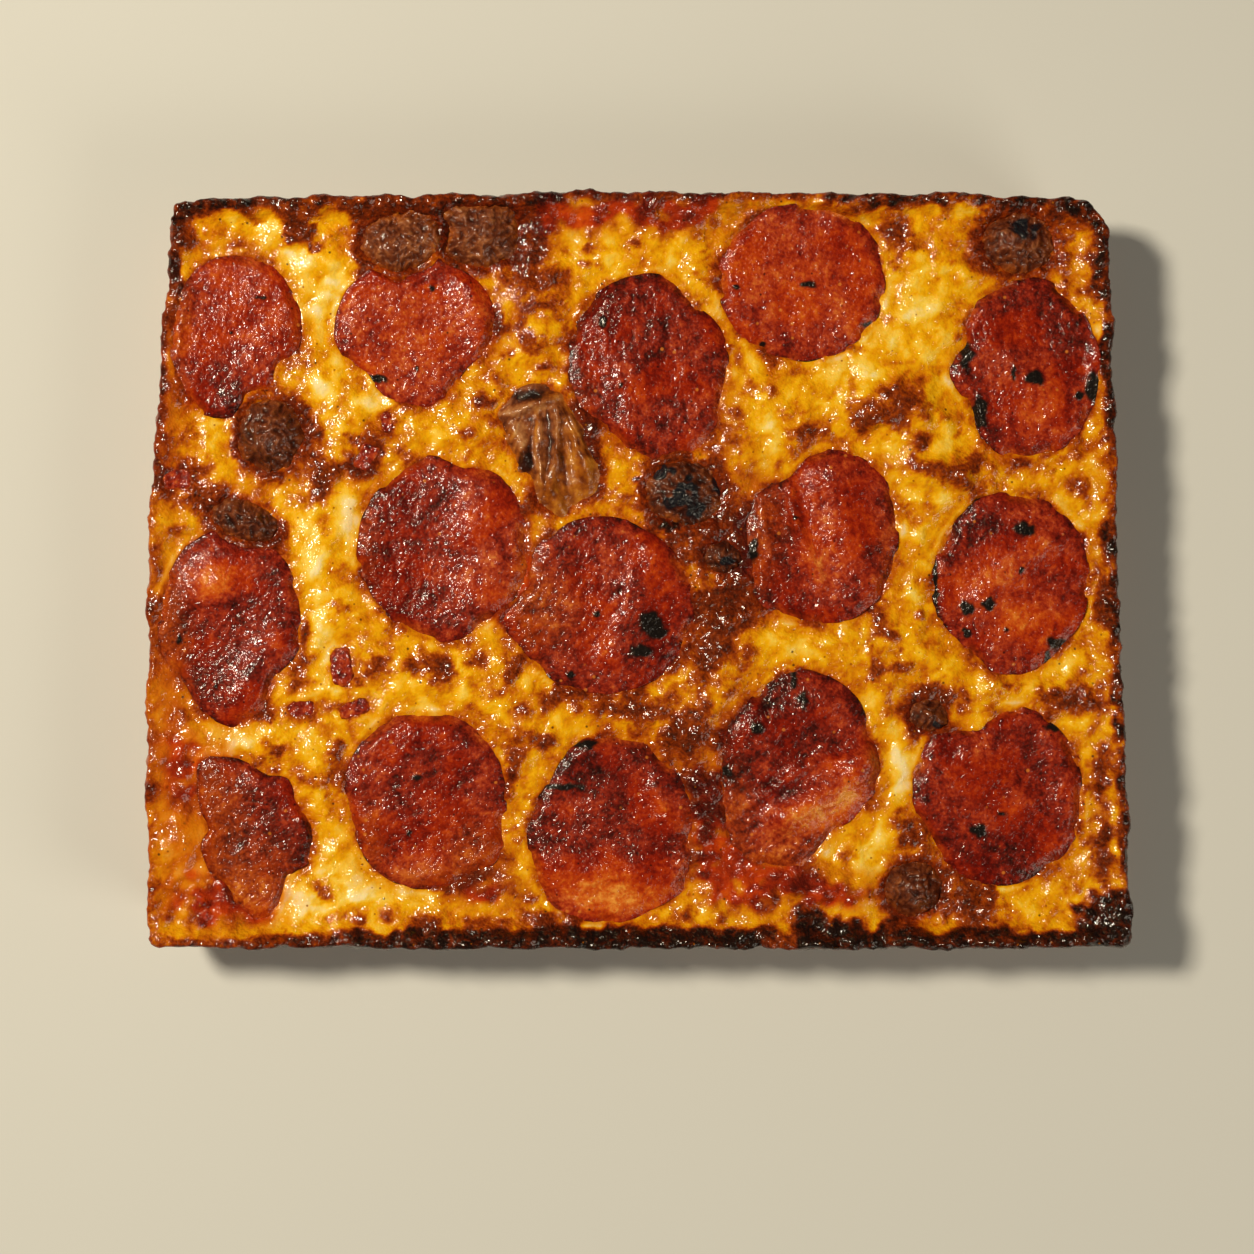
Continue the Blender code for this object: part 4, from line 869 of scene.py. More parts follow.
def surface(x, y):
    """Height of the cheese at a point in plan."""
    depth, shares = edge_depth(x, y)
    rises = np.tensordot(np.array(list(RIM_RISES.values())), shares, 1)
    rim = rises * (1.0 + 0.35 * ripple(x, y, 0.016, 31))
    height = CHEESE_TOP + rim * (1.0 - smooth(depth, RIM_TOP, RIM_REACH))
    height += COARSE_WAVE[0] * ripple(x, y, COARSE_WAVE[1], 33)
    height += FINE_WAVE[0] * ripple(x, y, FINE_WAVE[1], 35)
    nearest = np.min([piece.outside(x, y) for piece in toppings], axis=0)
    height += SWELL * smooth(nearest, 0.0, SWELL_REACH)
    for *line, half_width, rise in CHEESE_SWELLS:
        height += ridge(x, y, line, half_width, rise)
    return height, nearest, depth, shares


def stray(x, y, layers):
    """Move points aside at random; each layer has a reach, a spacing and two seeds."""
    new_x, new_y = x, y
    for reach, spacing, seed_x, seed_y in layers:
        new_x = new_x + reach * ripple(x, y, spacing, seed_x)
        new_y = new_y + reach * ripple(x, y, spacing, seed_y)
    return new_x, new_y


def spots(x, y, places):
    """The sum of soft oval spots at a point."""
    total = np.zeros(np.shape(x))
    for spot_x, spot_y, half_x, half_y, amount in places:
        total += amount * np.exp(-(((x - spot_x) / half_x) ** 2) - ((y - spot_y) / half_y) ** 2)
    return total


def beside(distance, reach):
    """1 up to a border and fading out beyond it."""
    return np.exp(-np.maximum(distance, 0.0) / reach)


def rim_char(x, y, depth, shares):
    """How far the char along the pan's wall covers a point, and how burnt it is there."""
    front = shares[2] / shares.max(axis=0)
    ragged = 1.0 + (0.50 - 0.24 * front) * ripple(x, y, 0.0085, 79)
    ragged += (0.50 - 0.26 * front) * ripple(x, y, 0.0030, 68)
    cover = np.zeros(np.shape(x))
    amounts = np.zeros(np.shape(x))
    for side, middle, half, amount, reach in RIM_CHAR:
        along = x if side > 1 else y
        near_side = shares[side] / shares.max(axis=0)
        strength = (1.0 - smooth(np.abs(along - middle) / half, 0.70, 1.25)) * near_side
        full = mix(0.50, 0.85, front) * reach * ragged
        gone = mix(1.0, 1.1, front) * reach * np.maximum(ragged, 0.2) + 0.0004
        fall = 1.0 - smooth(depth, full, gone)
        cover = np.maximum(cover, np.minimum((1.6 + 0.9 * front) * amount * strength, 1.0) * fall)
        amounts = np.maximum(amounts, amount * strength)
    uneven = (0.20 - 0.10 * front) * (ripple(x, y, 0.0034, 66) + ripple(x, y, 0.0017, 67))
    return cover, 0.46 + mix(0.44, 0.50, front) * amounts + uneven


def melted_toast(x, y, bent_x, bent_y):
    """The level of cheese that only melted: even, with paler and more golden places."""
    plateau = smooth(ripple(bent_x, bent_y, 0.0085, 76), -0.20, 0.20) - 0.5
    toast = PLAIN_CHEESE + 0.05 * ripple(x, y, 0.0180, 75) + 0.14 * plateau
    toast += 0.05 * ripple(x, y, 0.0034, 77)
    stains = ripple(bent_x, bent_y, 0.0110, 51) + 0.5 * ripple(bent_x, bent_y, 0.0042, 50)
    toast += 0.07 * smooth(stains, 0.10, 0.60)
    toast -= 0.60 * spots(bent_x, bent_y, PALE)
    toast += 0.10 * np.maximum(1.0 - 3.2 * np.abs(ripple(bent_x, bent_y, 0.0078, 56)), 0.0)
    return toast - 0.08 * blisters(bent_x, bent_y, 0.0052, 55, 0.25, 0.60)


def brown_patches(toast, x, y, bent_x, bent_y):
    """Brown the cheese in ragged patches, spots, rings, freckles and bubbles."""
    browned = spots(bent_x, bent_y, BROWNED)
    ragged = 0.40 * ripple(x, y, 0.0060, 59) + 0.32 * ripple(x, y, 0.0028, 58)
    toast += 0.17 * np.minimum(browned, 1.0) + 0.17 * smooth(browned + ragged, 0.38, 0.70)
    broken = 1.0 + 0.26 * ripple(x, y, 0.0040, 70) + 0.24 * ripple(x, y, 0.0021, 69)
    toasted = spots(bent_x, bent_y, TOASTED)
    toast += broken * (0.36 * toasted + 0.13 * smooth(toasted, 0.13, 0.28))
    rings = bell(blisters(bent_x, bent_y, 0.0046, 53, 0.14, 0.40) - 0.30, 0.16)
    toast += 0.11 * smooth(ripple(x, y, 0.0140, 52), -0.20, 0.25) * rings
    freckles = blisters(bent_x, bent_y, 0.0055, 78, 0.10, 0.34)
    toast += 0.08 * freckles * smooth(toast, 0.18, 0.36)
    bubbles = blisters(x, y, BIG_BLISTER[1], 94) + 0.6 * blisters(x, y, SMALL_BLISTER[1], 95)
    return toast + 0.11 * (bubbles - 0.55) * smooth(toast, 0.32, 0.50)


def brown_borders(toast, x, y, bent_x, bent_y, nearest, depth):
    """Brown the cheese round lumps and slices, pull it pale off some, and fry the edge."""
    by_lump = np.min([piece.outside(bent_x, bent_y) for piece in lumps], axis=0)
    toast += 0.28 * beside(by_lump, LUMP_HALO)
    toast += (0.14 + 0.18 * ripple(x, y, 0.0090, 57)) * beside(nearest, SLICE_HALO)
    softened = BROWN + BROWN_SPAN * np.tanh((toast - BROWN) / BROWN_SPAN)
    toast = np.where(toast > BROWN, softened, toast)
    pulled = smooth(ripple(x, y, 0.0120, 44), -0.05, 0.30) * bell(nearest - PULLED_LINE, PULLED_LINE)
    toast -= 0.20 * pulled * (1.0 - smooth(toast, 0.42, 0.66))
    return toast + 0.16 * (1.0 - smooth(depth, 0.0006, WALL_HALO))


def cheese_marks(x, y, nearest, depth, shares):
    """How toasted, oily and sauced the cheese is, with ragged borders."""
    bent_x, bent_y = stray(x, y, CHEESE_STRAY)
    toast = melted_toast(x, y, bent_x, bent_y)
    toast = brown_patches(toast, x, y, bent_x, bent_y)
    toast = brown_borders(toast, x, y, bent_x, bent_y, nearest, depth)
    for *oval, level in SCORCHED:
        spot = spots(bent_x, bent_y, [(*oval, 1.0)])
        spot += 0.22 * ripple(x, y, 0.0030, 48) + 0.16 * ripple(x, y, 0.0015, 47)
        toast = mix(toast, level + 0.08 * ripple(x, y, 0.0018, 46), smooth(spot, 0.38, 0.52))
    cover, burnt = rim_char(x, y, depth, shares)
    toast = mix(toast, burnt, cover)
    oil = spots(bent_x, bent_y, OILED)
    oil += 0.60 * beside(nearest, FAT_REACH) * (0.7 + 0.7 * ripple(x, y, 0.0100, 80))
    sauce = 1.25 * spots(bent_x, bent_y, SAUCED) * (1.05 + 1.1 * ripple(x, y, 0.0042, 65))
    return toast, np.clip(oil, 0.0, 1.0), np.clip(sauce, 0.0, 1.0)


def glaze_at(x, y):
    """How thickly the brown-orange glaze lies at a point."""
    uneven = 1.0 + 0.5 * ripple(x, y, 0.0035, 60)
    return np.clip(spots(*stray(x, y, GLAZE_STRAY), GLAZED) * uneven, 0.0, 1.0)


def cheese_relief(x, y, toast, sauce, glaze, nearest, depth):
    """Soft folds of melted cheese, blisters where it browns and beads along the rim."""
    clear = smooth(nearest, -0.0022, 0.0004)
    brown = smooth(toast, 0.36, 0.62) * (1.0 - 0.6 * glaze)
    folds = 0.6 - 1.6 * np.abs(ripple(x + 0.002 * ripple(x, y, 0.009, 90), y, SOFT_FOLD[1], 91))
    soft = SOFT_FOLD[0] * folds + SOFT_WAVE[0] * ripple(x, y, SOFT_WAVE[1], 92)
    soft += SMALL_WAVE[0] * ripple(x, y, SMALL_WAVE[1], 93)
    soft *= 1.0 - 0.4 * glaze
    domes = BIG_BLISTER[0] * blisters(x, y, BIG_BLISTER[1], 94)
    domes += SMALL_BLISTER[0] * blisters(x, y, SMALL_BLISTER[1], 95)
    domes += 0.00016 * ripple(x, y, 0.0021, 93)
    soft_bubbles = SOFT_BUBBLE[0] * blisters(x, y, SOFT_BUBBLE[1], 54, 0.12, 0.36)
    lumpy = SAUCE_LUMP[0] * blisters(x, y, SAUCE_LUMP[1], 96)
    lumpy += SAUCE_WAVE[0] * ripple(x, y, SAUCE_WAVE[1], 97)
    rim = (1.0 - smooth(depth, RIM_TOP, 0.0060)) * (0.35 + 0.65 * smooth(toast, 0.45, 0.75))
    beads = RIM_BEAD[0] * blisters(x, y, RIM_BEAD[1], 98) - RIM_DIP
    beads += RIM_WAVE[0] * ripple(x, y, RIM_WAVE[1], 99)
    wetting = 0.70 + 0.70 * ripple(x, y, 0.0060, 64) + 0.45 * ripple(x, y, 0.0024, 63)
    edge = MENISCUS * wetting * np.exp(-np.abs(nearest) / 0.0014)
    curds = CURD[0] * blisters(x, y, CURD[1], 45, 0.25, 0.55) * (1.0 - brown) * (1.0 - 0.6 * glaze)
    relief = soft + soft_bubbles + curds + brown * domes + sauce * lumpy + rim * beads + edge
    relief *= clear
    return relief, (soft + curds) / 0.0007


def set_mark(mesh, name, values):
    """Store an array on the mesh as a float attribute that its material reads."""
    mark = mesh.attributes.new(name, "FLOAT", "POINT")
    mark.data.foreach_set("value", np.asarray(values, np.float32))


def layer(tree, cover, below, shade, stops):
    """Cover a colour in part with others, which the same shade picks."""
    above = join(tree, "ShaderNodeValToRGB", {"stops": stops}, {"Fac": shade})
    covered = join(tree, "ShaderNodeMix", {"data_type": "RGBA"}, {
        "Factor": cover, 6: below, 7: above.outputs["Color"]})
    return covered.outputs[2]


def specks(tree, where, below, strength, kinds):
    """Strew round specks on a colour: spacing, radius, share of cells left bare, colour."""
    for spacing, radius, bare, code in kinds:
        cells = join(tree, "ShaderNodeTexVoronoi", {}, {"Vector": where, "Scale": 1 / spacing})
        dot = join(tree, "ShaderNodeMapRange", {}, {
            "Value": cells.outputs["Distance"], "From Min": radius * 0.5, "From Max": radius,
            "To Min": strength, "To Max": 0.0})
        picked = join(tree, "ShaderNodeMath", {"operation": "GREATER_THAN"}, {
            0: cells.outputs["Color"], 1: bare})
        speck = join(tree, "ShaderNodeMath", {"operation": "MULTIPLY"}, {
            0: dot.outputs["Result"], 1: picked.outputs["Value"]})
        speckled = join(tree, "ShaderNodeMix", {"data_type": "RGBA"}, {
            "Factor": speck.outputs["Value"], 6: below, 7: linear(code)})
        below = speckled.outputs[2]
    return below


def film_of_oil(tree, shader, where, weight, roughness, spacing, relief):
    """Lay a clear film of fat on a shader, with small soft waves of its own."""
    waves = join(tree, "ShaderNodeTexNoise", {}, {
        "Vector": where, "Scale": 1 / spacing, "Detail": 1.0, "Roughness": 0.5, "Distortion": 1.2})
    bump = join(tree, "ShaderNodeBump", {}, {
        "Height": waves.outputs["Fac"], "Strength": 1.0, "Distance": relief})
    tree.links.new(bump.outputs["Normal"], shader.inputs["Coat Normal"])
    shader.inputs["Coat Weight"].default_value = weight
    shader.inputs["Coat Roughness"].default_value = roughness


def melted_cheese():
    """Melted brick cheese: waxy, translucent and greasy, golden with browned blisters."""
    made, tree, shader, where, toast, oil, sauce, glaze = new_material(
        "melted_cheese", "toast", "oil", "sauce", "glaze")
    mottle = join(tree, "ShaderNodeTexNoise", {}, {
        "Vector": where, "Scale": 1 / CHEESE_MOTTLE, "Detail": 5.0, "Roughness": 0.65, "Distortion": 0.5})
    grain = join(tree, "ShaderNodeTexNoise", {}, {
        "Vector": where, "Scale": 1 / CHEESE_GRAIN, "Detail": 1.0, "Roughness": 0.5})
    both = join(tree, "ShaderNodeMath", {"operation": "MULTIPLY_ADD"}, {
        0: grain.outputs["Fac"], 1: 0.55, 2: mottle.outputs["Fac"]})
    # Painted light and shade go into the mottling here: the grain also raises the bump, so the cheese is
    # coloured paler on the grain's crests and more golden in its pits.
    centred = join(tree, "ShaderNodeMath", {"operation": "SUBTRACT"}, {0: 0.775, 1: both.outputs["Value"]})
    contrast = join(tree, "ShaderNodeMath", {"operation": "MULTIPLY_ADD"}, {0: toast, 1: 0.72, 2: 0.10})
    calm = join(tree, "ShaderNodeMath", {"operation": "MULTIPLY_ADD"}, {0: glaze, 1: -0.45, 2: 1.0})
    mottled = join(tree, "ShaderNodeMath", {"operation": "MULTIPLY"}, {
        0: contrast.outputs["Value"], 1: calm.outputs["Value"]})
    shaded = join(tree, "ShaderNodeMath", {"operation": "MULTIPLY_ADD"}, {
        0: centred.outputs["Value"], 1: mottled.outputs["Value"], 2: toast})
    shade = shaded.outputs["Value"]
    colour = join(tree, "ShaderNodeValToRGB", {"stops": [
        (0.00, "#FCE4A4"), (0.10, "#FAD050"), (0.22, "#F2B20C"), (0.35, "#DE8E02"), (0.47, "#C26403"),
        (0.59, "#9A3C04"), (0.71, "#702505"), (0.85, "#421405"), (0.99, "#1A0A07")]}, {"Fac": shade})
    oily = join(tree, "ShaderNodeMix", {"data_type": "RGBA", "blend_type": "MULTIPLY"}, {
        "Factor": oil, 6: colour.outputs["Color"], 7: linear("#D8935C")})
    part = join(tree, "ShaderNodeMath", {"operation": "MULTIPLY"}, {0: glaze, 1: 0.80})
    glazed = layer(tree, part.outputs["Value"], oily.outputs[2], shade, [
        (0.10, "#E08C1C"), (0.26, "#CC6A10"), (0.44, "#A8460C"), (0.62, "#7A2A0A"), (0.80, "#481608")])
    sauced = layer(tree, sauce, glazed, shade, [
        (0.14, "#D2560C"), (0.30, "#B4360A"), (0.46, "#8C220A"), (0.64, "#5C1409"), (0.84, "#2E0B08")])
    speckled = specks(tree, where, sauced, 0.85, CHEESE_SPECKS)
    gloss = join(tree, "ShaderNodeMapRange", {}, {
        "Value": shade, "From Min": 0.15, "From Max": 0.70, "To Min": 0.22, "To Max": 0.40})
    greasy = join(tree, "ShaderNodeMath", {"operation": "MULTIPLY_ADD"}, {
        0: oil, 1: -0.05, 2: gloss.outputs["Result"]})
    crispness = join(tree, "ShaderNodeMapRange", {}, {
        "Value": toast, "From Min": 0.20, "From Max": 0.55, "To Min": 0.40, "To Max": 0.95})
    tree.links.new(greasy.outputs["Value"], shader.inputs["Roughness"])
    film_of_oil(tree, shader, where, 0.60, 0.09, 0.0018, 0.00036)
    set_surface(tree, shader, speckled, grain.outputs["Fac"], crispness.outputs["Result"], 0.0007, {
        "Specular IOR Level": 0.08, "Specular Tint": (1.0, 0.80, 0.48, 1.0),
        "Subsurface Weight": 0.15, "Subsurface Radius": (1.0, 0.5, 0.1), "Subsurface Scale": 0.0018})
    return made


cap = bmesh.new()
bmesh.ops.create_grid(cap, x_segments=LONG_STEPS, y_segments=WIDE_STEPS, size=1.0)
u_mark, v_mark, ring_mark = add_marks(cap)
for vert in cap.verts:
    vert[u_mark] = crowd(vert.co.x)
    vert[v_mark] = crowd(vert.co.y)
outer_edge = [edge for edge in cap.edges if edge.is_boundary]
bed_edge = grow_rings(cap, outer_edge, SKIRT_RINGS + 2, ring_mark)
bmesh.ops.contextual_create(cap, geom=bed_edge)
cheese_mesh = mesh_of(cap, "cheese_cap")

u, v, ring = read_marks(cheese_mesh)
top_x, top_y = place(u, v, RIM_ROUND, CHEESE_TOP)
height, nearest, depth, shares = surface(top_x, top_y)
toast, oil, sauce = cheese_marks(top_x, top_y, nearest, depth, shares)
glaze = glaze_at(top_x, top_y)
relief, soft = cheese_relief(top_x, top_y, toast, sauce, glaze, nearest, depth)
crest = height + relief
# Partly painted shade and partly fat pooled in the hollows: where it has not browned, the cheese is
# coloured paler on the crests of its folds and curds and more golden in their hollows.
toast -= 0.095 * soft * (1.0 - smooth(toast, 0.40, 0.70))

skirt = ring > 0.5
under = ring > SKIRT_RINGS + 0.5
down = np.clip((ring - 3.0) / (SKIRT_RINGS - 3.0), 0.0, 1.0)
z = mix(crest - RIM_ROUND, lip_height(u, v), down)
z = np.where(ring < 3.0, crest - RIM_ROUND * by_ring(ring, SHOULDER_DROPS), z)
z = np.where(ring > SKIRT_RINGS + 1.5, DOUGH_TOP + LAYER_GAP, z)
inset = lean(z) + RIM_ROUND * by_ring(ring, SHOULDER_INSETS) + np.where(under, SKIRT_WALL, 0.0)
inset = np.where(skirt, inset, RIM_ROUND)
rough = np.where(under, 0.0, 1.0)
side_x, side_y = place(u, v, inset, np.where(skirt, z, CHEESE_TOP), rough)
run = run_round(side_x, side_y)
beads = SKIRT_BEAD[0] * blisters(run, z, SKIRT_BEAD[1], 101)
beads += SKIRT_DRIP[0] * ripple(run, z * 0.6, SKIRT_DRIP[1], 102)
beads += SKIRT_SWELL[0] * ripple(run, z * 0.4, SKIRT_SWELL[1], 108) - 0.0001
side_x, side_y = push_out(side_x, side_y, beads * smooth(ring, 0.5, 3.0) * rough)
x = np.where(skirt, side_x, top_x)
y = np.where(skirt, side_y, top_y)
z = np.where(skirt, z, crest)
side_toast_and_shade = FRIED_SKIRT + 0.12 * ripple(run, z, 0.0120, 103) + 0.14 * ripple(run, z, 0.0040, 104)
side_toast_and_shade -= 0.22 * smooth(down, 0.55, 1.0) * (0.6 + 0.8 * ripple(run, z, 0.0090, 105))
# Partly painted shade and partly real frying: the skirt is darker on the right and front sides, which face
# away from the lamp, and lighter on the left side.
side_toast_and_shade += 0.12 * (shares[1] + shares[2]) - 0.20 * shares[0]
toast = mix(toast, side_toast_and_shade, smooth(ring, 0.0, 5.0))
set_places(cheese_mesh, x, y, z)
for name, values in (("toast", toast), ("oil", oil), ("sauce", sauce), ("glaze", glaze)):
    set_mark(cheese_mesh, name, values)
put("cheese_cap", cheese_mesh, melted_cheese(), "browned_cheese", "cheese")


# The slices of pepperoni.
# Cured pork and beef sausage, cut about two millimetres thick. In the oven each slice
# shrinks and curls, its fat melts and fries it glossy, and its border chars in places.

SLICE_THICKNESS = 0.0015
SLICE_CURL = 0.0005
SLICE_SINK = 0.0003
SLICE_STEPS = 120

# Heights of a slice's border where it stands free and where cheese laps over it
SLICE_EDGE = 0.0006
LAPPED_EDGE = -0.0002

# The turned-down border: share of the radius and of the edge's height, ring after ring
BORDER = [(0.985, 1.0), (0.996, 0.70), (1.0, 0.20), (0.998, -0.60), (0.96, -1.40), (0.80, -1.60)]
BORDER_RINGS = len(BORDER) - 1

# Relief of a slice: height and spacing of its swells, creases, wrinkles, lumps, bumps and pits
SLICE_SWELL = (0.00032, 0.0090)
CREASE = (0.00009, 0.0030)
WRINKLE = (0.00008, 0.0011)
SLICE_LUMP = (0.00015, 0.0042)
SLICE_BUMP = (0.00009, 0.0017)
PIT = (0.00014, 0.0026)
CHAR_RISE = 0.0003

# How far the borders of its patches stray: reach, spacing and the two seeds
SLICE_STRAY = [(0.0009, 0.0030, 740, 741), (0.0006, 0.0014, 742, 743)]

# Spacings of the marbling and the grain, and the specks of fat and of spice:
# spacing, radius, share left bare and colour
MARBLING = 0.0024
MEAT_GRAIN = 0.0008
MEAT_SPECKS = [(0.0034, 0.17, 0.74, "#CF7428"), (0.0030, 0.13, 0.60, "#2A0A08")]

# Ridges and bulges of single slices: slice number, line from x, y to x, y, half width, rise
SLICE_FOLDS = [
    (2, -0.0440, 0.0735, -0.0400, 0.0600, 0.0040, 0.0016),
    (3, -0.0080, 0.0720, -0.0020, 0.0380, 0.0060, 0.0007),
    (6, -0.0400, 0.0250, -0.0400, -0.0120, 0.0080, 0.0010),
    (7, 0.0040, 0.0060, -0.0060, -0.0220, 0.0060, 0.0014),
    (8, 0.0500, 0.0250, 0.0580, -0.0060, 0.0060, 0.0018),
    (8, 0.0375, 0.0290, 0.0405, 0.0120, 0.0016, 0.0010),
    (8, 0.0405, 0.0120, 0.0475, -0.0040, 0.0016, 0.0010),
    (8, 0.0300, 0.0260, 0.0340, 0.0040, 0.0014, 0.0007),
    (5, 0.0930, 0.0600, 0.1100, 0.0420, 0.0040, 0.0009),
    (9, 0.0880, -0.0060, 0.1060, 0.0080, 0.0034, 0.0008),
    (14, 0.0860, -0.0480, 0.1000, -0.0600, 0.0034, 0.0008),
    (9, 0.0960, 0.0120, 0.0980, -0.0180, 0.0100, 0.0008),
    (10, -0.1105, -0.0020, -0.1105, -0.0020, 0.0070, 0.0020),
    (10, -0.0950, -0.0180, -0.1040, -0.0330, 0.0050, 0.0014),
    (11, -0.0700, -0.0440, -0.0450, -0.0440, 0.0080, 0.0010),
    (12, -0.0260, -0.0500, -0.0150, -0.0440, 0.0045, 0.0016),
    (12, -0.0260, -0.0763, 0.0130, -0.0800, 0.0050, 0.0012),
    (13, 0.0380, -0.0640, 0.0600, -0.0500, 0.0046, 0.0030),
    (13, 0.0300, -0.0600, 0.0440, -0.0500, 0.0016, 0.0010),
    (13, 0.0440, -0.0500, 0.0590, -0.0480, 0.0016, 0.0010),
    (12, 0.0040, -0.0560, 0.0120, -0.0760, 0.0018, 0.0009),
    (13, 0.0300, -0.0420, 0.0480, -0.0330, 0.0050, 0.0012),
    (14, 0.1080, -0.0440, 0.1120, -0.0620, 0.0040, 0.0010),
    (15, -0.1080, -0.0600, -0.1000, -0.0560, 0.0050, 0.0005),
]

# Each slice's brightness, its wrinkles' direction in degrees, and how wrinkled it is
SLICE_LOOKS = [
    (0.49, 70, 0.7), (0.55, 20, 0.9), (0.40, 95, 1.0), (0.54, 80, 0.7), (0.42, 100, 1.0),
    (0.44, 85, 0.7), (0.43, 55, 1.1), (0.42, 110, 0.9), (0.48, 85, 0.9), (0.44, 60, 0.5),
    (0.44, 30, 0.8), (0.41, 10, 0.8), (0.40, 40, 1.0), (0.41, 70, 0.8), (0.39, 30, 0.5),
]

# Brighter and, below nought, darker patches of the slices: centre, half sizes and how much
SLICE_TONES = [
    (-0.1040, 0.0680, 0.0100, 0.0100, 0.06), (-0.1090, 0.0480, 0.0080, 0.0080, -0.14),
    # The darker patch at x -0.0620, y 0.0790 is partly a painted shadow cast by the sausage lump above it,
    # and partly burnt meat.
    (-0.0620, 0.0790, 0.0100, 0.0040, -0.26), (-0.0620, 0.0620, 0.0120, 0.0100, 0.06),
    (-0.0110, 0.0690, 0.0080, 0.0080, -0.16), (0.0140, 0.0400, 0.0090, 0.0080, 0.12),
    (0.0420, 0.0780, 0.0160, 0.0140, 0.05), (0.1020, 0.0400, 0.0100, 0.0060, 0.16),
    (0.1000, 0.0700, 0.0140, 0.0050, -0.10), (-0.0630, 0.0060, 0.0080, 0.0180, -0.10),
    (-0.0400, 0.0080, 0.0080, 0.0160, 0.10), (-0.0220, -0.0060, 0.0080, 0.0120, 0.06),
    (0.0020, -0.0150, 0.0060, 0.0070, -0.16), (0.0380, 0.0100, 0.0060, 0.0160, -0.10),
    (0.0470, 0.0060, 0.0060, 0.0120, 0.22), (0.0880, 0.0120, 0.0120, 0.0060, -0.16),
    (0.0980, -0.0120, 0.0120, 0.0080, 0.06), (-0.1110, -0.0020, 0.0070, 0.0060, 0.24),
    (-0.1050, -0.0060, 0.0030, 0.0030, -0.14), (-0.1100, -0.0260, 0.0100, 0.0070, -0.12),
    (-0.0560, -0.0480, 0.0140, 0.0070, -0.06), (-0.0600, -0.0680, 0.0120, 0.0070, -0.02),
    (-0.0560, -0.0760, 0.0120, 0.0040, 0.14), (-0.0060, -0.0855, 0.0170, 0.0058, 0.36),
    (-0.0160, -0.0520, 0.0100, 0.0080, -0.10), (0.0340, -0.0380, 0.0100, 0.0120, -0.16),
    # The bright patch at x 0.0570, y -0.0510 on the fold of slice 13 is a painted reflection, and the one
    # at x 0.0520, y -0.0580 beside it is partly a painted highlight.
    (0.0440, -0.0640, 0.0080, 0.0040, 0.32), (0.0520, -0.0580, 0.0070, 0.0044, 0.36),
    (0.0570, -0.0510, 0.0050, 0.0036, 0.16), (0.0380, -0.0560, 0.0120, 0.0026, -0.18),
    (0.0350, -0.0710, 0.0090, 0.0050, 0.18), (0.0960, -0.0780, 0.0140, 0.0060, -0.10),
    (0.0880, -0.0500, 0.0100, 0.0080, 0.04), (-0.1000, -0.0640, 0.0060, 0.0080, -0.06),
    (-0.0990, -0.0860, 0.0060, 0.0050, 0.16),
]

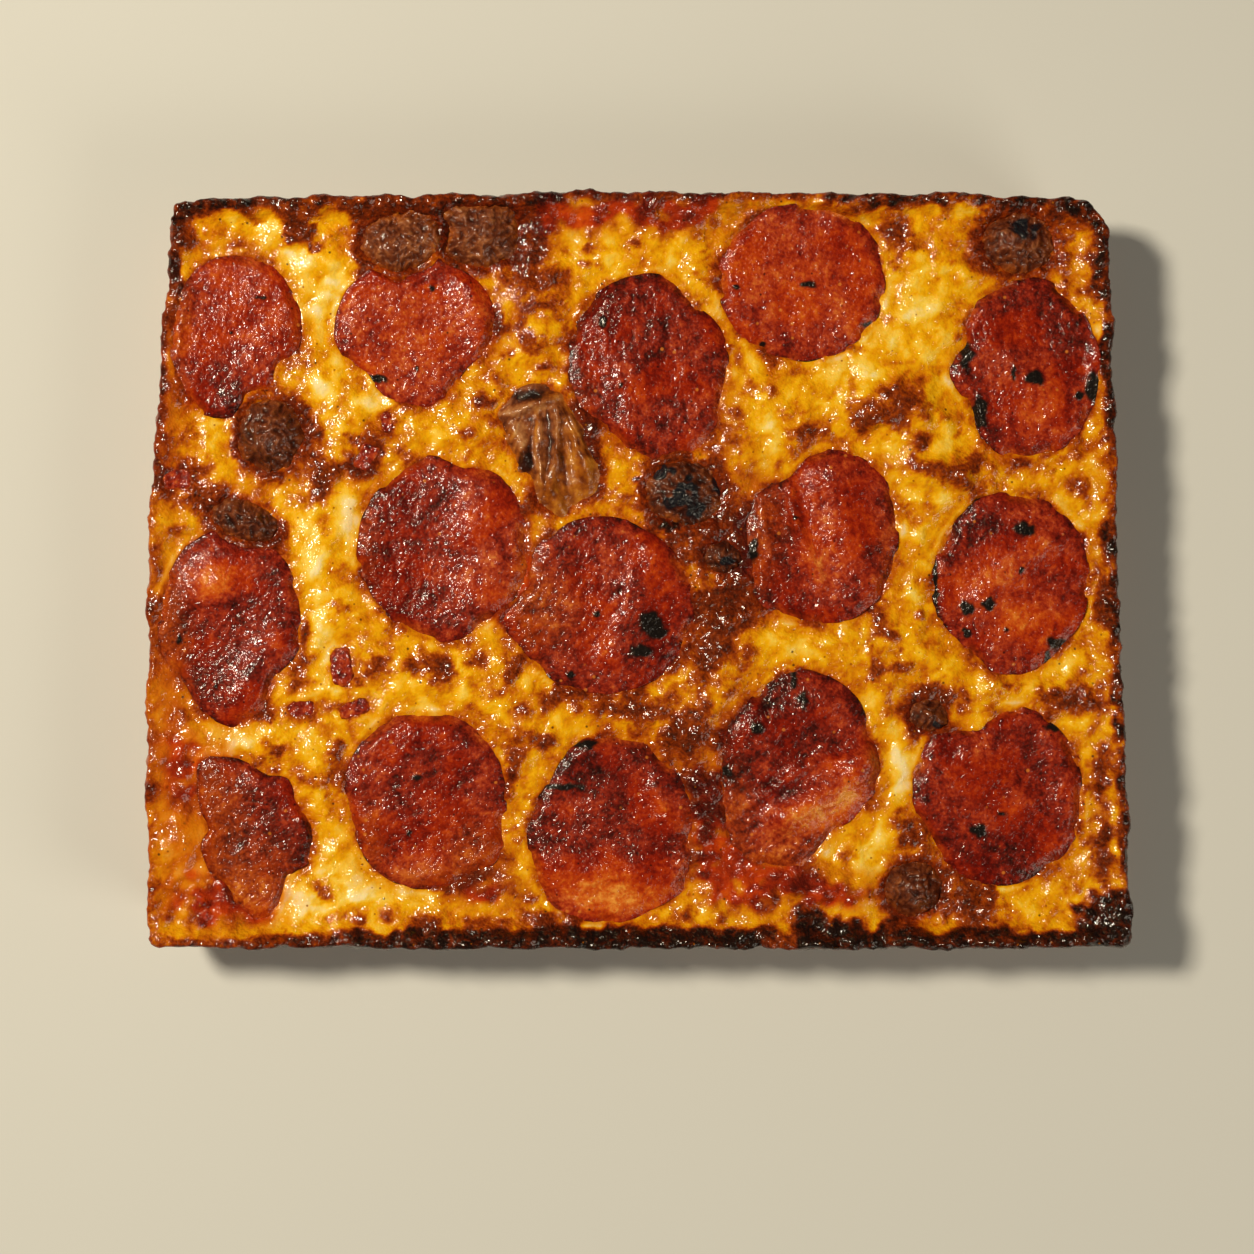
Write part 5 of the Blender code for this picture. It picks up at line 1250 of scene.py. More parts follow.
# Charred specks and burnt stretches of border, one stretch partly a painted shadow under a curled border:
# centre, half sizes and how black
CHARRED = [
    (-0.0096, 0.0646, 0.0013, 0.0016, 1.0), (0.0440, 0.0747, 0.0024, 0.0009, 0.8),
    (0.0317, 0.0590, 0.0012, 0.0012, 0.9), (0.0593, 0.0642, 0.0018, 0.0010, 0.9),
    (0.1025, 0.0503, 0.0026, 0.0018, 1.0), (0.1180, 0.0477, 0.0022, 0.0040, 1.0),
    (0.0848, 0.0560, 0.0016, 0.0040, 1.0), (0.0884, 0.0415, 0.0020, 0.0046, 1.0),
    (0.1140, 0.0455, 0.0012, 0.0012, 0.9), (0.0970, 0.0520, 0.0008, 0.0030, 0.6),
    (0.0026, -0.0128, 0.0028, 0.0026, 1.0), (0.0050, -0.0160, 0.0024, 0.0020, 0.9),
    (0.0002, -0.0208, 0.0030, 0.0018, 1.0), (-0.0110, -0.0110, 0.0008, 0.0008, 0.8),
    (-0.0180, -0.0270, 0.0012, 0.0010, 0.8), (0.0284, 0.0175, 0.0012, 0.0012, 1.0),
    (0.0292, 0.0056, 0.0016, 0.0030, 1.0), (0.0405, 0.0140, 0.0010, 0.0010, 0.7),
    (0.1001, 0.0108, 0.0028, 0.0020, 1.0), (0.0905, -0.0085, 0.0018, 0.0018, 1.0),
    (0.0851, -0.0095, 0.0016, 0.0024, 1.0), (0.0848, -0.0160, 0.0014, 0.0012, 1.0),
    (0.0990, 0.0004, 0.0008, 0.0008, 0.9), (0.1078, -0.0183, 0.0026, 0.0016, 1.0),
    (0.1061, -0.0230, 0.0012, 0.0022, 1.0), (0.0950, -0.0153, 0.0008, 0.0008, 0.8),
    (0.0768, -0.0040, 0.0010, 0.0070, 1.0), (-0.1105, -0.0300, 0.0009, 0.0009, 0.8),
    (-0.1195, -0.0180, 0.0008, 0.0012, 0.7), (-0.0575, -0.0535, 0.0016, 0.0008, 0.8),
    (-0.0600, -0.0680, 0.0007, 0.0009, 0.8), (-0.0720, -0.0760, 0.0014, 0.0010, 0.9),
    (-0.0140, -0.0450, 0.0040, 0.0013, 0.8), (-0.0200, -0.0560, 0.0060, 0.0011, 0.9),
    (0.0304, -0.0405, 0.0020, 0.0018, 1.0), (0.0400, -0.0280, 0.0009, 0.0034, 0.9),
    (0.0425, -0.0335, 0.0013, 0.0026, 0.9), (0.0225, -0.0520, 0.0014, 0.0020, 0.8),
    (0.0535, -0.0262, 0.0016, 0.0010, 0.9), (0.0880, -0.0672, 0.0022, 0.0018, 1.0),
    (0.1080, -0.0405, 0.0026, 0.0014, 1.0), (0.0940, -0.0630, 0.0018, 0.0010, 0.5),
    (-0.0985, 0.0712, 0.0016, 0.0007, 0.8), (-0.0540, 0.0737, 0.0009, 0.0009, 0.8),
    # The black stretch at x -0.0685, y 0.0500, on the lower left border of slice 2, is partly a painted
    # shadow under that curled border.
    (-0.0580, 0.0525, 0.0009, 0.0008, 0.6), (-0.0685, 0.0500, 0.0030, 0.0010, 1.0),
    (-0.0340, 0.0280, 0.0016, 0.0022, 0.9), (-0.0050, 0.0480, 0.0008, 0.0012, 0.7),
    (-0.1060, 0.0620, 0.0006, 0.0006, 0.6), (0.0250, 0.0737, 0.0012, 0.0008, 0.5),
]

# Greasy stretches that shine: centre, half sizes and how wet
WET = [
    (-0.1040, 0.0660, 0.0140, 0.0120, 0.9), (-0.0430, 0.0680, 0.0040, 0.0080, 0.6),
    (-0.0600, 0.0620, 0.0160, 0.0140, 0.7), (0.0420, 0.0750, 0.0180, 0.0160, 0.7),
    (0.1010, 0.0420, 0.0120, 0.0100, 0.8), (0.0970, -0.0030, 0.0160, 0.0180, 0.6),
    (0.0930, -0.0580, 0.0160, 0.0180, 0.4),
    (-0.0620, 0.0060, 0.0080, 0.0160, 0.7), (0.0090, -0.0080, 0.0040, 0.0060, 0.9),
    (0.0540, 0.0130, 0.0040, 0.0140, 1.0), (0.0440, 0.0050, 0.0050, 0.0120, 0.7),
    (-0.0600, -0.0680, 0.0140, 0.0080, 1.0), (-0.0780, -0.0630, 0.0030, 0.0040, 1.0),
    (0.0570, -0.0520, 0.0060, 0.0050, 1.0), (0.0480, -0.0600, 0.0100, 0.0050, 0.6),
    (-0.1180, -0.0080, 0.0040, 0.0120, 0.6),
    (-0.0040, -0.0850, 0.0160, 0.0060, 1.0), (0.0430, -0.0640, 0.0100, 0.0040, 0.8),
]


def disc(steps):
    """A closed round cake: a grid bent to a disc, its border turned down and under."""
    cake = bmesh.new()
    bmesh.ops.create_grid(cake, x_segments=steps, y_segments=steps, size=1.0)
    u_mark, v_mark, ring_mark = add_marks(cake)
    for vert in cake.verts:
        across, along = vert.co.x, vert.co.y
        vert[u_mark] = across * math.sqrt(1.0 - along * along / 2.0)
        vert[v_mark] = along * math.sqrt(1.0 - across * across / 2.0)
    border = [edge for edge in cake.edges if edge.is_boundary]
    border = grow_rings(cake, border, BORDER_RINGS, ring_mark)
    bmesh.ops.contextual_create(cake, geom=border)
    return mesh_of(cake, "disc")


def lay_disc(pattern, topping, top_of, thickness, sink):
    """Bend a copy of the disc to a topping's outline, on the cheese below it."""
    mesh = pattern.copy()
    mesh.name = topping.name
    u, v, ring = read_marks(mesh)
    angle = np.arctan2(v, u)
    edge_share = by_ring(ring, [row[0] for row in BORDER])
    edge_level = by_ring(ring, [row[1] for row in BORDER])
    share = np.where(ring > 0.5, edge_share, np.minimum(np.hypot(u, v), 1.0) * BORDER[0][0])
    reach = share * topping.radius(angle)
    x = topping.x + reach * np.cos(angle)
    y = topping.y + reach * np.sin(angle)
    floor = surface(x, y)[0] - sink
    rise, marks = top_of(x, y, share, angle)
    z = floor + np.where(ring > 0.5, np.minimum(rise, thickness) * edge_level, rise)
    set_places(mesh, x, y, z)
    for name, values in marks.items():
        set_mark(mesh, name, values)
    return mesh


def lapped(angle, seed, low, high):
    """Where round a piece cheese laps over its border: from 0 for nowhere up to 1."""
    return smooth(ripple(2.0 * np.cos(angle), 2.0 * np.sin(angle), 0.9, seed), low, high)


def edge_rise(share, lap, edge, thickness, reach, tuck=0.0):
    """How a piece's top rises from its border, which lies lower where cheese laps over it."""
    border = mix(edge, LAPPED_EDGE, lap)
    return mix(border, thickness, smooth(1.0 - share - tuck * lap, 0.0, reach)) + SLICE_SINK


def wrinkles(x, y, number, turn):
    """Creases and finer wrinkles of a slice, drawn out along one direction."""
    bent = x + 0.0012 * ripple(x, y, 0.0060, 640 + number)
    along = bent * math.cos(turn) + y * math.sin(turn)
    across = y * math.cos(turn) - bent * math.sin(turn)
    crease = 1.0 - np.abs(ripple(along / 3.0, across, CREASE[1], 660 + number)) * 2.4
    return crease, ripple(along / 2.2, across, WRINKLE[1], 680 + number)


def slice_char(x, y, bent_x, bent_y, share, angle, number):
    """Broken charred specks on a slice, and stretches where its border burnt."""
    char = 1.15 * spots(mix(x, bent_x, 0.6), mix(y, bent_y, 0.6), CHARRED)
    char *= 1.0 + 0.55 * ripple(x, y, 0.0019, 744)
    burnt = ripple(np.cos(angle), np.sin(angle), 0.32, 800 + number)
    char += 0.8 * smooth(burnt, 0.45, 0.75) * smooth(share, 0.965, 0.99)
    return smooth(char, 0.22, 0.62)


def slice_top(number):
    """The upper face of a slice and its marks: tone, char, wetness and glaze."""
    folds = [(line, half, rise) for n, *line, half, rise in SLICE_FOLDS if n == number]
    brightness, direction, wrinkled = SLICE_LOOKS[number - 1]

    def top(x, y, share, angle):
        inner = 1.0 - share**8
        lap = lapped(angle, 820 + number, -0.05, 0.40)
        rise = edge_rise(share, lap, SLICE_EDGE, SLICE_THICKNESS, 0.16, 0.02)
        curl = 0.3 + 0.7 * ripple(np.cos(angle), np.sin(angle), 0.9, 600 + number)
        rise += SLICE_CURL * share**4 * curl * (1.0 - lap)
        rise += SLICE_SWELL[0] * ripple(x, y, SLICE_SWELL[1], 620 + number) * inner
        lit = np.zeros(np.shape(x))
        for line, half_width, high in folds:
            rise += ridge(x, y, line, half_width, high) * inner
            lit += ridge(x, y, line, half_width, 0.07)
        crease, small = wrinkles(x, y, number, math.radians(direction))
        wet = spots(x, y, WET) + smooth(ripple(x, y, 0.0130, 830 + number), -0.05, 0.35)
        wet = np.clip(wet, 0.0, 1.0)
        dry = 1.0 - 0.40 * wet
        rise += wrinkled * (CREASE[0] * crease + WRINKLE[0] * small) * inner * dry
        lumpy = SLICE_LUMP[0] * ripple(x, y, SLICE_LUMP[1], 700 + number)
        lumpy += SLICE_BUMP[0] * ripple(x, y, SLICE_BUMP[1], 690)
        rise += lumpy * inner * dry
        rise -= PIT[0] * blisters(x, y, PIT[1], 720 + number, 0.12, 0.30) * inner

        bent_x, bent_y = stray(x, y, SLICE_STRAY)
        mottled = 0.15 * ripple(x, y, 0.0046, 780 + number) + 0.08 * ripple(x, y, 0.0020, 790)
        tone = brightness + 0.13 * ripple(x, y, 0.0100, 760 + number) + mottled * (1.0 - 0.45 * wet)
        tone += 1.2 * spots(bent_x, bent_y, SLICE_TONES) + 0.04 * wet + lit - 0.02
        # Painted light and shade: the slice is coloured lighter on the ridges of its creases and wrinkles
        # and darker in their furrows.
        tone += wrinkled * (0.08 * crease + 0.08 * small)
        tone -= 0.14 * smooth(share, 0.90, 1.0) * (1.0 - lap)
        char = slice_char(x, y, bent_x, bent_y, share, angle, number)
        film = np.maximum(glaze_at(x, y), 0.75 * lap * smooth(share, 0.84, 0.98))
        rise += CHAR_RISE * char * inner
        return rise, {"tone": tone, "char": char, "wet": wet, "glaze": film}

    return top


def fried_pepperoni():
    """Fried cured sausage: deep red, marbled with orange fat, greasy and finely wrinkled."""
    made, tree, shader, where, tone, char, wet, glaze = new_material(
        "fried_pepperoni", "tone", "char", "wet", "glaze")
    marble = join(tree, "ShaderNodeTexNoise", {}, {
        "Vector": where, "Scale": 1 / MARBLING, "Detail": 5.0, "Roughness": 0.7, "Distortion": 0.4})
    grain = join(tree, "ShaderNodeTexNoise", {}, {
        "Vector": where, "Scale": 1 / MEAT_GRAIN, "Detail": 1.0, "Roughness": 0.5})
    both = join(tree, "ShaderNodeMath", {"operation": "MULTIPLY_ADD"}, {
        0: grain.outputs["Fac"], 1: 0.50, 2: marble.outputs["Fac"]})
    # Painted light and shade go into the marbling here: the grain also raises the bump, so the meat is
    # coloured lighter on the grain's crests and darker in its pits.
    centred = join(tree, "ShaderNodeMath", {"operation": "SUBTRACT"}, {0: both.outputs["Value"], 1: 0.75})
    calm = join(tree, "ShaderNodeMath", {"operation": "MULTIPLY_ADD"}, {0: wet, 1: -0.40, 2: 1.0})
    shaded = join(tree, "ShaderNodeMath", {"operation": "MULTIPLY_ADD"}, {
        0: centred.outputs["Value"], 1: calm.outputs["Value"], 2: tone})
    shade = shaded.outputs["Value"]
    colour = join(tree, "ShaderNodeValToRGB", {"stops": [
        (0.02, "#220505"), (0.18, "#420805"), (0.34, "#6A1006"), (0.50, "#921F07"), (0.66, "#B4390B"),
        (0.82, "#CE5E18"), (1.00, "#E6943A")]}, {"Fac": shade})
    # A painted sheen: a dull pinkish-grey cast over the drier meat, less where it is wet, standing in for
    # the sky's reflection on its fine wrinkles.
    painted_sheen = join(tree, "ShaderNodeMath", {"operation": "MULTIPLY_ADD"}, {0: wet, 1: -0.38, 2: 0.38})
    meat = layer(tree, painted_sheen.outputs["Value"], colour.outputs["Color"], shade, [
        (0.06, "#200807"), (0.28, "#4A120C"), (0.50, "#78241A"), (0.72, "#9C402E"), (0.95, "#BC6C4E")])
    part = join(tree, "ShaderNodeMath", {"operation": "MULTIPLY"}, {0: glaze, 1: 0.85})
    glazed = layer(tree, part.outputs["Value"], meat, shade, [
        (0.06, "#4E1406"), (0.30, "#862C08"), (0.52, "#AE480C"), (0.78, "#D67C1C")])
    speckled = specks(tree, where, glazed, 0.80, MEAT_SPECKS)
    burnt = join(tree, "ShaderNodeMix", {"data_type": "RGBA"}, {
        "Factor": char, 6: speckled, 7: linear("#15100E")})
    rough = join(tree, "ShaderNodeMapRange", {}, {
        "Value": wet, "From Min": 0.0, "From Max": 1.0, "To Min": 0.42, "To Max": 0.26})
    tree.links.new(rough.outputs["Result"], shader.inputs["Roughness"])
    film_of_oil(tree, shader, where, 0.50, 0.08, 0.0013, 0.00030)
    set_surface(tree, shader, burnt.outputs[2], grain.outputs["Fac"], 0.8, 0.00042, {
        "Specular IOR Level": 0.10, "Specular Tint": (1.0, 0.78, 0.56, 1.0)})
    return made


slice_disc = disc(SLICE_STEPS)
slice_look = fried_pepperoni()
for number, topping in enumerate(slices, 1):
    mesh = lay_disc(slice_disc, topping, slice_top(number), SLICE_EDGE, SLICE_SINK)
    put(f"slice_of_{topping.name}", mesh, slice_look, "pepperoni_meat", topping.name)


# The lumps of sausage.
# Raw pork sausage, pinched off and dropped on the cheese. The heat draws it into low
# domes with a dark, rough, crackled skin.

LUMP_STEPS = 80
LUMP_SINK = 0.0008
LUMP_EDGE = 0.0003
LUMP_GRAIN = 0.0011

# Relief of a lump: height and spacing of its swells, knobs, ridges, cracks and pebbles
LUMP_SWELL = (0.0009, 0.0080)
LUMP_KNOB = (0.00046, 0.0036)
LUMP_RIDGE = (0.00036, 0.0026)
LUMP_CRACK = (0.00014, 0.0014)
PEBBLE = (0.00024, 0.0017)

# How far the lumps' ridges stray: reach and spacing
LUMP_STRAY = (0.0009, 0.0040)

# The shine of browned meat and mushroom under their film of fat
MOIST = {"Roughness": 0.40, "Specular IOR Level": 0.20, "Specular Tint": (1.0, 0.84, 0.62, 1.0)}

# How light each lump is, then charred spots: centre, half sizes and how black
LUMP_TONES = [0.50, 0.52, 0.46, 0.44, 0.42, 0.38, 0.34, 0.40, 0.46]
LUMP_CHARRED = [
    (0.0060, 0.0262, 0.0030, 0.0022, 1.0), (0.0093, 0.0183, 0.0038, 0.0030, 1.0),
    (0.0206, 0.0222, 0.0020, 0.0030, 1.0), (0.0130, 0.0225, 0.0030, 0.0022, 0.8),
    (0.0150, 0.0160, 0.0024, 0.0026, 0.9), (0.0228, 0.0028, 0.0020, 0.0016, 0.9),
    (0.1000, 0.0890, 0.0046, 0.0032, 0.9), (0.0776, -0.0404, 0.0014, 0.0010, 0.9),
]


def lump_top(number, high):
    """The upper face of a lump: a dome that sinks into the cheese at its border."""
    def top(x, y, share, angle):
        dome = high * np.maximum(1.0 - share**2.1, 0.0) ** 1.35 - 0.0006 * smooth(share, 0.75, 1.0)
        inner = smooth(1.0 - share, -0.05, 0.12)
        bent_x, bent_y = stray(x, y, [(*LUMP_STRAY, 810 + number, 815 + number)])
        wrinkle = 1.0 - 2.6 * np.abs(ripple(bent_x, bent_y, LUMP_RIDGE[1], 840 + number))
        small = 1.0 - 2.6 * np.abs(ripple(bent_x, bent_y / 1.3, LUMP_CRACK[1], 850 + number))
        pebbles = 2.0 * blisters(bent_x, bent_y, PEBBLE[1], 870 + number, 0.30, 0.66) - 1.0
        rough = ripples(x, y, [(*LUMP_SWELL, 700 + number), (*LUMP_KNOB, 820 + number)])
        rough += LUMP_RIDGE[0] * wrinkle + LUMP_CRACK[0] * small + PEBBLE[0] * pebbles
        tone = LUMP_TONES[number - 1] + 0.12 * ripple(x, y, 0.0060, 880 + number)
        # Painted light and shade: the lump is coloured lighter on its ridges and pebbles and darker in the
        # furrows between them.
        tone += 0.11 * wrinkle + 0.05 * small + 0.08 * pebbles
        border = smooth(share + 0.22 * ripple(x, y, 0.0046, 860), 0.62, 1.02)
        char = spots(bent_x, bent_y, LUMP_CHARRED)
        char = smooth(char * (1.0 + 0.8 * ripple(x, y, 0.0024, 865)), 0.30, 0.55)
        return LUMP_SINK - 0.0005 + dome + rough * inner, {"tone": tone, "border": border, "char": char}

    return top


def grainy_shade(tree, where, tone, spacing, roughness):
    """A fine grain, and the tone as that grain unsettles it; as the grain also raises the bump, the tone is
    painted lighter on its crests and darker in its pits.
    """
    noise = join(tree, "ShaderNodeTexNoise", {}, {
        "Vector": where, "Scale": 1 / spacing, "Detail": 3.0, "Roughness": roughness})
    grain = noise.outputs["Fac"]
    spread = join(tree, "ShaderNodeMath", {"operation": "MULTIPLY_ADD"}, {0: grain, 1: 0.6, 2: -0.30})
    shade = join(tree, "ShaderNodeMath", {"operation": "ADD"}, {0: spread.outputs["Value"], 1: tone})
    return grain, shade.outputs["Value"]


def browned_sausage():
    """Roasted minced pork: brown and rough, greasy, with toasted cheese baked to its border."""
    made, tree, shader, where, tone, border, char = new_material(
        "browned_sausage", "tone", "border", "char")
    grain, shade = grainy_shade(tree, where, tone, LUMP_GRAIN, 0.6)
    colour = join(tree, "ShaderNodeValToRGB", {"stops": [
        (0.02, "#160706"), (0.22, "#30110A"), (0.40, "#522110"), (0.58, "#76391C"), (0.78, "#A05E34"),
        (0.98, "#CC8E54")]}, {"Fac": shade})
    part = join(tree, "ShaderNodeMath", {"operation": "MULTIPLY"}, {0: border, 1: 0.70})
    bordered = layer(tree, part.outputs["Value"], colour.outputs["Color"], shade, [
        (0.10, "#421706"), (0.40, "#7A3007"), (0.62, "#A64E09"), (0.90, "#D08014")])
    burnt = join(tree, "ShaderNodeMix", {"data_type": "RGBA"}, {
        "Factor": char, 6: bordered, 7: linear("#14161C")})
    film_of_oil(tree, shader, where, 0.62, 0.10, 0.0014, 0.00032)
    set_surface(tree, shader, burnt.outputs[2], grain, 0.8, 0.0005, MOIST)
    return made


lump_disc = disc(LUMP_STEPS)
lump_look = browned_sausage()
for number, topping in enumerate(lumps, 1):
    mesh = lay_disc(lump_disc, topping, lump_top(number, LUMPS[number - 1][5]), LUMP_EDGE, LUMP_SINK)
    put(f"browned_{topping.name}", mesh, lump_look, "browned_sausage", topping.name)


# The slice of mushroom.
# A thin slice of mushroom, shrunk and wrinkled by the heat and stained by the cheese.
# It lies folded over, with one end turned up.

MUSHROOM_RISE = MUSHROOM[5] - 0.0011
MUSHROOM_GRAIN = 0.0013
MUSHROOM_STRAY = [(0.0008, 0.0040, 907, 908)]

# Relief of its flesh: height and spacing of the fanned creases and wrinkles and of small bumps
FAN_CREASE = (0.00026, 0.0019)
FAN_WRINKLE = (0.00014, 0.0009)
FLESH_BUMP = (0.00016, 0.0019)

# Direction of the end that turns up, the point from which the creases fan out, the radius at
# which their spacing is measured, and the line above which they stop: x, y and slope
TURNED_END = math.radians(122.0)
FAN_POINT = (-0.0250, 0.0520)
FAN_REACH = 0.0200
FOLD_LINE = (-0.0280, 0.0425, 0.34)

# Folds of the slice: line from x, y to x, y, half width and rise
MUSHROOM_FOLDS = [
    (-0.0368, 0.0404, -0.0192, 0.0464, 0.0015, 0.0022),
    (-0.0340, 0.0440, -0.0325, 0.0480, 0.0012, 0.0018),
    (-0.0320, 0.0480, -0.0225, 0.0492, 0.0012, 0.0010),
    (-0.0325, 0.0370, -0.0300, 0.0300, 0.0020, 0.0012),
    (-0.0262, 0.0390, -0.0256, 0.0230, 0.0012, 0.0012),
    (-0.0215, 0.0420, -0.0215, 0.0300, 0.0016, 0.0016),
    (-0.0215, 0.0300, -0.0232, 0.0220, 0.0014, 0.0014),
    (-0.0232, 0.0220, -0.0200, 0.0130, 0.0014, 0.0014),
    (-0.0180, 0.0400, -0.0140, 0.0270, 0.0020, 0.0014),
    (-0.0140, 0.0270, -0.0130, 0.0190, 0.0024, 0.0010),
]

# Lighter and, below nought, darker places of it: centre, half sizes and how much
MUSHROOM_TONES = [
    (-0.0285, 0.0458, 0.0050, 0.0013, -0.55), (-0.0230, 0.0480, 0.0035, 0.0010, -0.30),
    (-0.0340, 0.0455, 0.0010, 0.0028, 0.22), (-0.0295, 0.0278, 0.0016, 0.0028, -0.90),
    (-0.0300, 0.0392, 0.0060, 0.0008, -0.20), (-0.0285, 0.0340, 0.0008, 0.0050, -0.28),
    (-0.0236, 0.0350, 0.0008, 0.0070, -0.34), (-0.0345, 0.0412, 0.0030, 0.0012, 0.34),
    (-0.0290, 0.0428, 0.0040, 0.0012, 0.30), (-0.0225, 0.0452, 0.0040, 0.0012, 0.28),
    (-0.0318, 0.0350, 0.0016, 0.0034, 0.24), (-0.0270, 0.0310, 0.0008, 0.0070, 0.16),
    (-0.0200, 0.0300, 0.0008, 0.0080, -0.22), (-0.0250, 0.0210, 0.0010, 0.0050, -0.20),
    (-0.0150, 0.0300, 0.0012, 0.0070, -0.12), (-0.0350, 0.0360, 0.0012, 0.0030, -0.24),
]

# Where the cheese's glaze covers it: centre, half sizes and how thickly
MUSHROOM_GLAZED = [
    (-0.0140, 0.0250, 0.0060, 0.0100, 0.95), (-0.0270, 0.0370, 0.0009, 0.0060, 0.80),
    (-0.0235, 0.0190, 0.0060, 0.0070, 0.90), (-0.0180, 0.0360, 0.0034, 0.0070, 0.55),
]


def mushroom_top(x, y, share, angle):
    """The upper face of the mushroom slice: a few large folds and a fan of creases."""
    inner = 1.0 - share**6
    turned_up = smooth(np.cos(angle - TURNED_END), 0.80, 0.97)
    lap = lapped(angle, 905, -0.80, -0.10) * (1.0 - turned_up)
    rise = edge_rise(share, lap, SLICE_EDGE, MUSHROOM_RISE, 0.34, 0.05)
    bent_x, bent_y = stray(x, y, MUSHROOM_STRAY)
    for *line, half_width, high in MUSHROOM_FOLDS:
        rise += ridge(bent_x, bent_y, line, half_width, high) * inner
    fan = np.arctan2(x - FAN_POINT[0], FAN_POINT[1] - y) * FAN_REACH
    down = np.hypot(x - FAN_POINT[0], FAN_POINT[1] - y)
    wavering = fan + 0.0006 * ripple(x, y, 0.005, 906)
    crease = 1.0 - np.abs(ripple(wavering, down / 6.0, FAN_CREASE[1], 901)) * 2.2
    fine = ripple(fan, down / 4.0, FAN_WRINKLE[1], 902)
    below = smooth(FOLD_LINE[1] + FOLD_LINE[2] * (x - FOLD_LINE[0]) - y, 0.0, 0.0015)
    fanned = (FAN_CREASE[0] * crease + FAN_WRINKLE[0] * fine) * inner * below
    rise += fanned + FLESH_BUMP[0] * ripple(x, y, FLESH_BUMP[1], 911) * inner
    # Painted light and shade: the fanned creases and fine wrinkles are coloured lighter on their ridges and
    # darker in their furrows.
    tone = 0.40 + 0.16 * crease * below + 0.13 * ripple(x, y, 0.0060, 903) + 0.12 * fine
    tone += 0.16 * ripple(x, y, 0.0026, 912) * below
    tone += spots(bent_x, bent_y, MUSHROOM_TONES)
    ragged = share + 0.22 * ripple(x, y, 0.0050, 904) + 0.12 * ripple(x, y, 0.0022, 909)
    border = smooth(ragged, 0.60, 1.00)
    border = np.maximum(border * (1.0 - turned_up), spots(bent_x, bent_y, MUSHROOM_GLAZED))
    return rise, {"tone": tone, "border": np.clip(border, 0.0, 1.0)}


def roasted_mushroom():
    """Roasted mushroom: tan, wrinkled and moist, dark in its folds, glazed by the cheese."""
    made, tree, shader, where, tone, border = new_material("roasted_mushroom", "tone", "border")
    grain, shade = grainy_shade(tree, where, tone, MUSHROOM_GRAIN, 0.5)
    colour = join(tree, "ShaderNodeValToRGB", {"stops": [
        (0.02, "#1B0B08"), (0.24, "#4C1F10"), (0.46, "#844420"), (0.70, "#B07242"), (0.95, "#D2A472")]},
        {"Fac": shade})
    glazed = layer(tree, border, colour.outputs["Color"], shade, [
        (0.02, "#341007"), (0.24, "#70300A"), (0.46, "#9E520E"), (0.74, "#C67C18"), (0.95, "#E6AA3C")])
    film_of_oil(tree, shader, where, 0.62, 0.09, 0.0013, 0.00030)
    set_surface(tree, shader, glazed, grain, 0.6, 0.0005, MOIST)
    return made


mesh = lay_disc(lump_disc, mushroom, mushroom_top, SLICE_EDGE, SLICE_SINK)
put("folded_mushroom_slice", mesh, roasted_mushroom(), "roasted_mushroom", "mushroom_slice")


# The scraps of bacon.
# Small pieces of smoked bacon, fried dark red and hard by the heat from above. They are
# scattered last and bake a little way into the cheese.

SCRAP_STEPS = 30
SCRAP_THICKNESS = 0.0008
SCRAP_EDGE = 0.0004
SCRAP_LIMIT = 0.0003
SCRAP_RELIEF = [(0.00025, 0.0030, 911), (0.00016, 0.0012, 912)]


def scrap_top(x, y, share, angle):
    """The upper face of a scrap: low, uneven and dark, its border under the glaze."""
    inner = 1.0 - share**8
    lap = lapped(angle, 915, -0.25, 0.25)
    rise = edge_rise(share, lap, SCRAP_EDGE, SCRAP_THICKNESS, 0.25)
    rise += ripples(x, y, SCRAP_RELIEF) * inner
    tone = 0.48 + 0.16 * ripple(x, y, 0.0028, 913) + 0.14 * ripple(x, y, 0.0013, 914)
    tone -= 0.06 * smooth(share, 0.8, 1.0)
    plain = np.zeros(np.shape(x))
    glaze = 0.8 * smooth(share, 0.7, 1.0)
    return rise, {"tone": tone, "char": plain, "wet": plain + 0.2, "glaze": glaze}


scrap_disc = disc(SCRAP_STEPS)
for topping in scraps:
    mesh = lay_disc(scrap_disc, topping, scrap_top, SCRAP_LIMIT, SLICE_SINK)
    put(f"crisp_{topping.name}", mesh, slice_look, "crisp_bacon", topping.name)

for pattern in (slice_disc, lump_disc, scrap_disc):
    bpy.data.meshes.remove(pattern)


# The floor, the light and the camera.
# A pale floor of even colour under one large soft lamp from the left and a pale sky,
# seen from straight above.

# The photo's frame: size of a pixel at the cheese, and where the pizza's middle lies
PHOTO_PIXELS = 1254
PIXEL = 0.00026
PHOTO_MIDDLE = (627.0 - 640.0, 571.5 - 627.0)

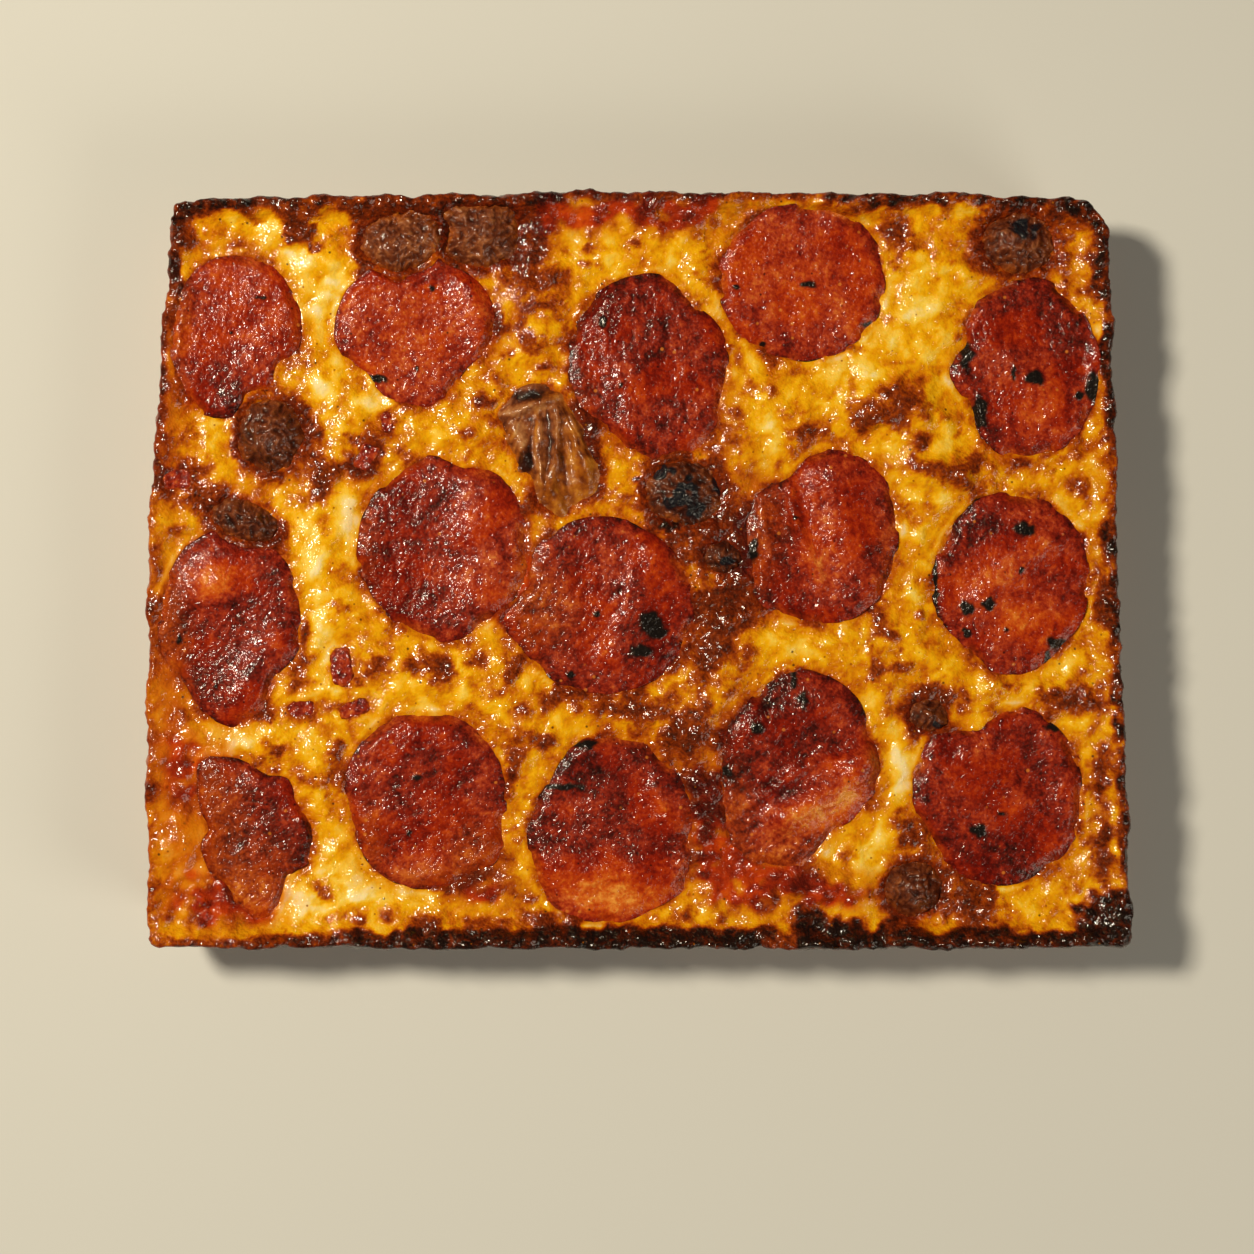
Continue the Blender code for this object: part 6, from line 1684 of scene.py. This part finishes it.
# Lens and sensor in millimetres, and the height at which the frame is measured
LENS = 85.0
SENSOR = 36.0
FOCUS_HEIGHT = 0.0265

FLOOR_HALF = 2.0
FLOOR_COLOUR = "#D6D5D0"
SKY_COLOUR = (1.0, 0.94, 0.82, 1.0)
SKY_STRENGTH = 0.055

floor_form = bmesh.new()
bmesh.ops.create_grid(floor_form, x_segments=1, y_segments=1, size=FLOOR_HALF)
floor_mesh = mesh_of(floor_form, "floor")
floor_look, tree, shader, where = new_material("pale_floor")
shader.inputs["Base Color"].default_value = linear(FLOOR_COLOUR)
shader.inputs["Roughness"].default_value = 0.85
floor_mesh.materials.append(floor_look)
floor = bpy.data.objects.new("floor", floor_mesh)
bpy.context.scene.collection.objects.link(floor)


def lamp(name, spot, size, power, colour):
    """A square soft lamp that faces the middle of the pizza."""
    light = bpy.data.lights.new(name, "AREA")
    light.size = size
    light.energy = power
    light.color = colour
    body = bpy.data.objects.new(name, light)
    body.location = spot
    body.rotation_euler = (-body.location).to_track_quat("-Z", "Y").to_euler()
    bpy.context.scene.collection.objects.link(body)


lamp("window_lamp", (-0.68, 0.30, 1.14), 0.20, 17.5, (1.0, 0.90, 0.70))
lamp("fill_lamp", (0.90, -0.70, 0.75), 0.60, 5.0, (1.0, 0.92, 0.76))

world = bpy.data.worlds.new("pale_sky")
world.use_nodes = True
sky = world.node_tree.nodes["Background"]
sky.inputs["Color"].default_value = SKY_COLOUR
sky.inputs["Strength"].default_value = SKY_STRENGTH
bpy.context.scene.world = world
bpy.context.scene.view_settings.view_transform = "Standard"

camera_data = bpy.data.cameras.new("camera")
camera_data.lens = LENS
camera_data.sensor_width = SENSOR
camera = bpy.data.objects.new("camera", camera_data)
distance = PHOTO_PIXELS * PIXEL * LENS / SENSOR
camera.location = (PHOTO_MIDDLE[0] * PIXEL, PHOTO_MIDDLE[1] * PIXEL, FOCUS_HEIGHT + distance)
bpy.context.scene.collection.objects.link(camera)
bpy.context.scene.camera = camera

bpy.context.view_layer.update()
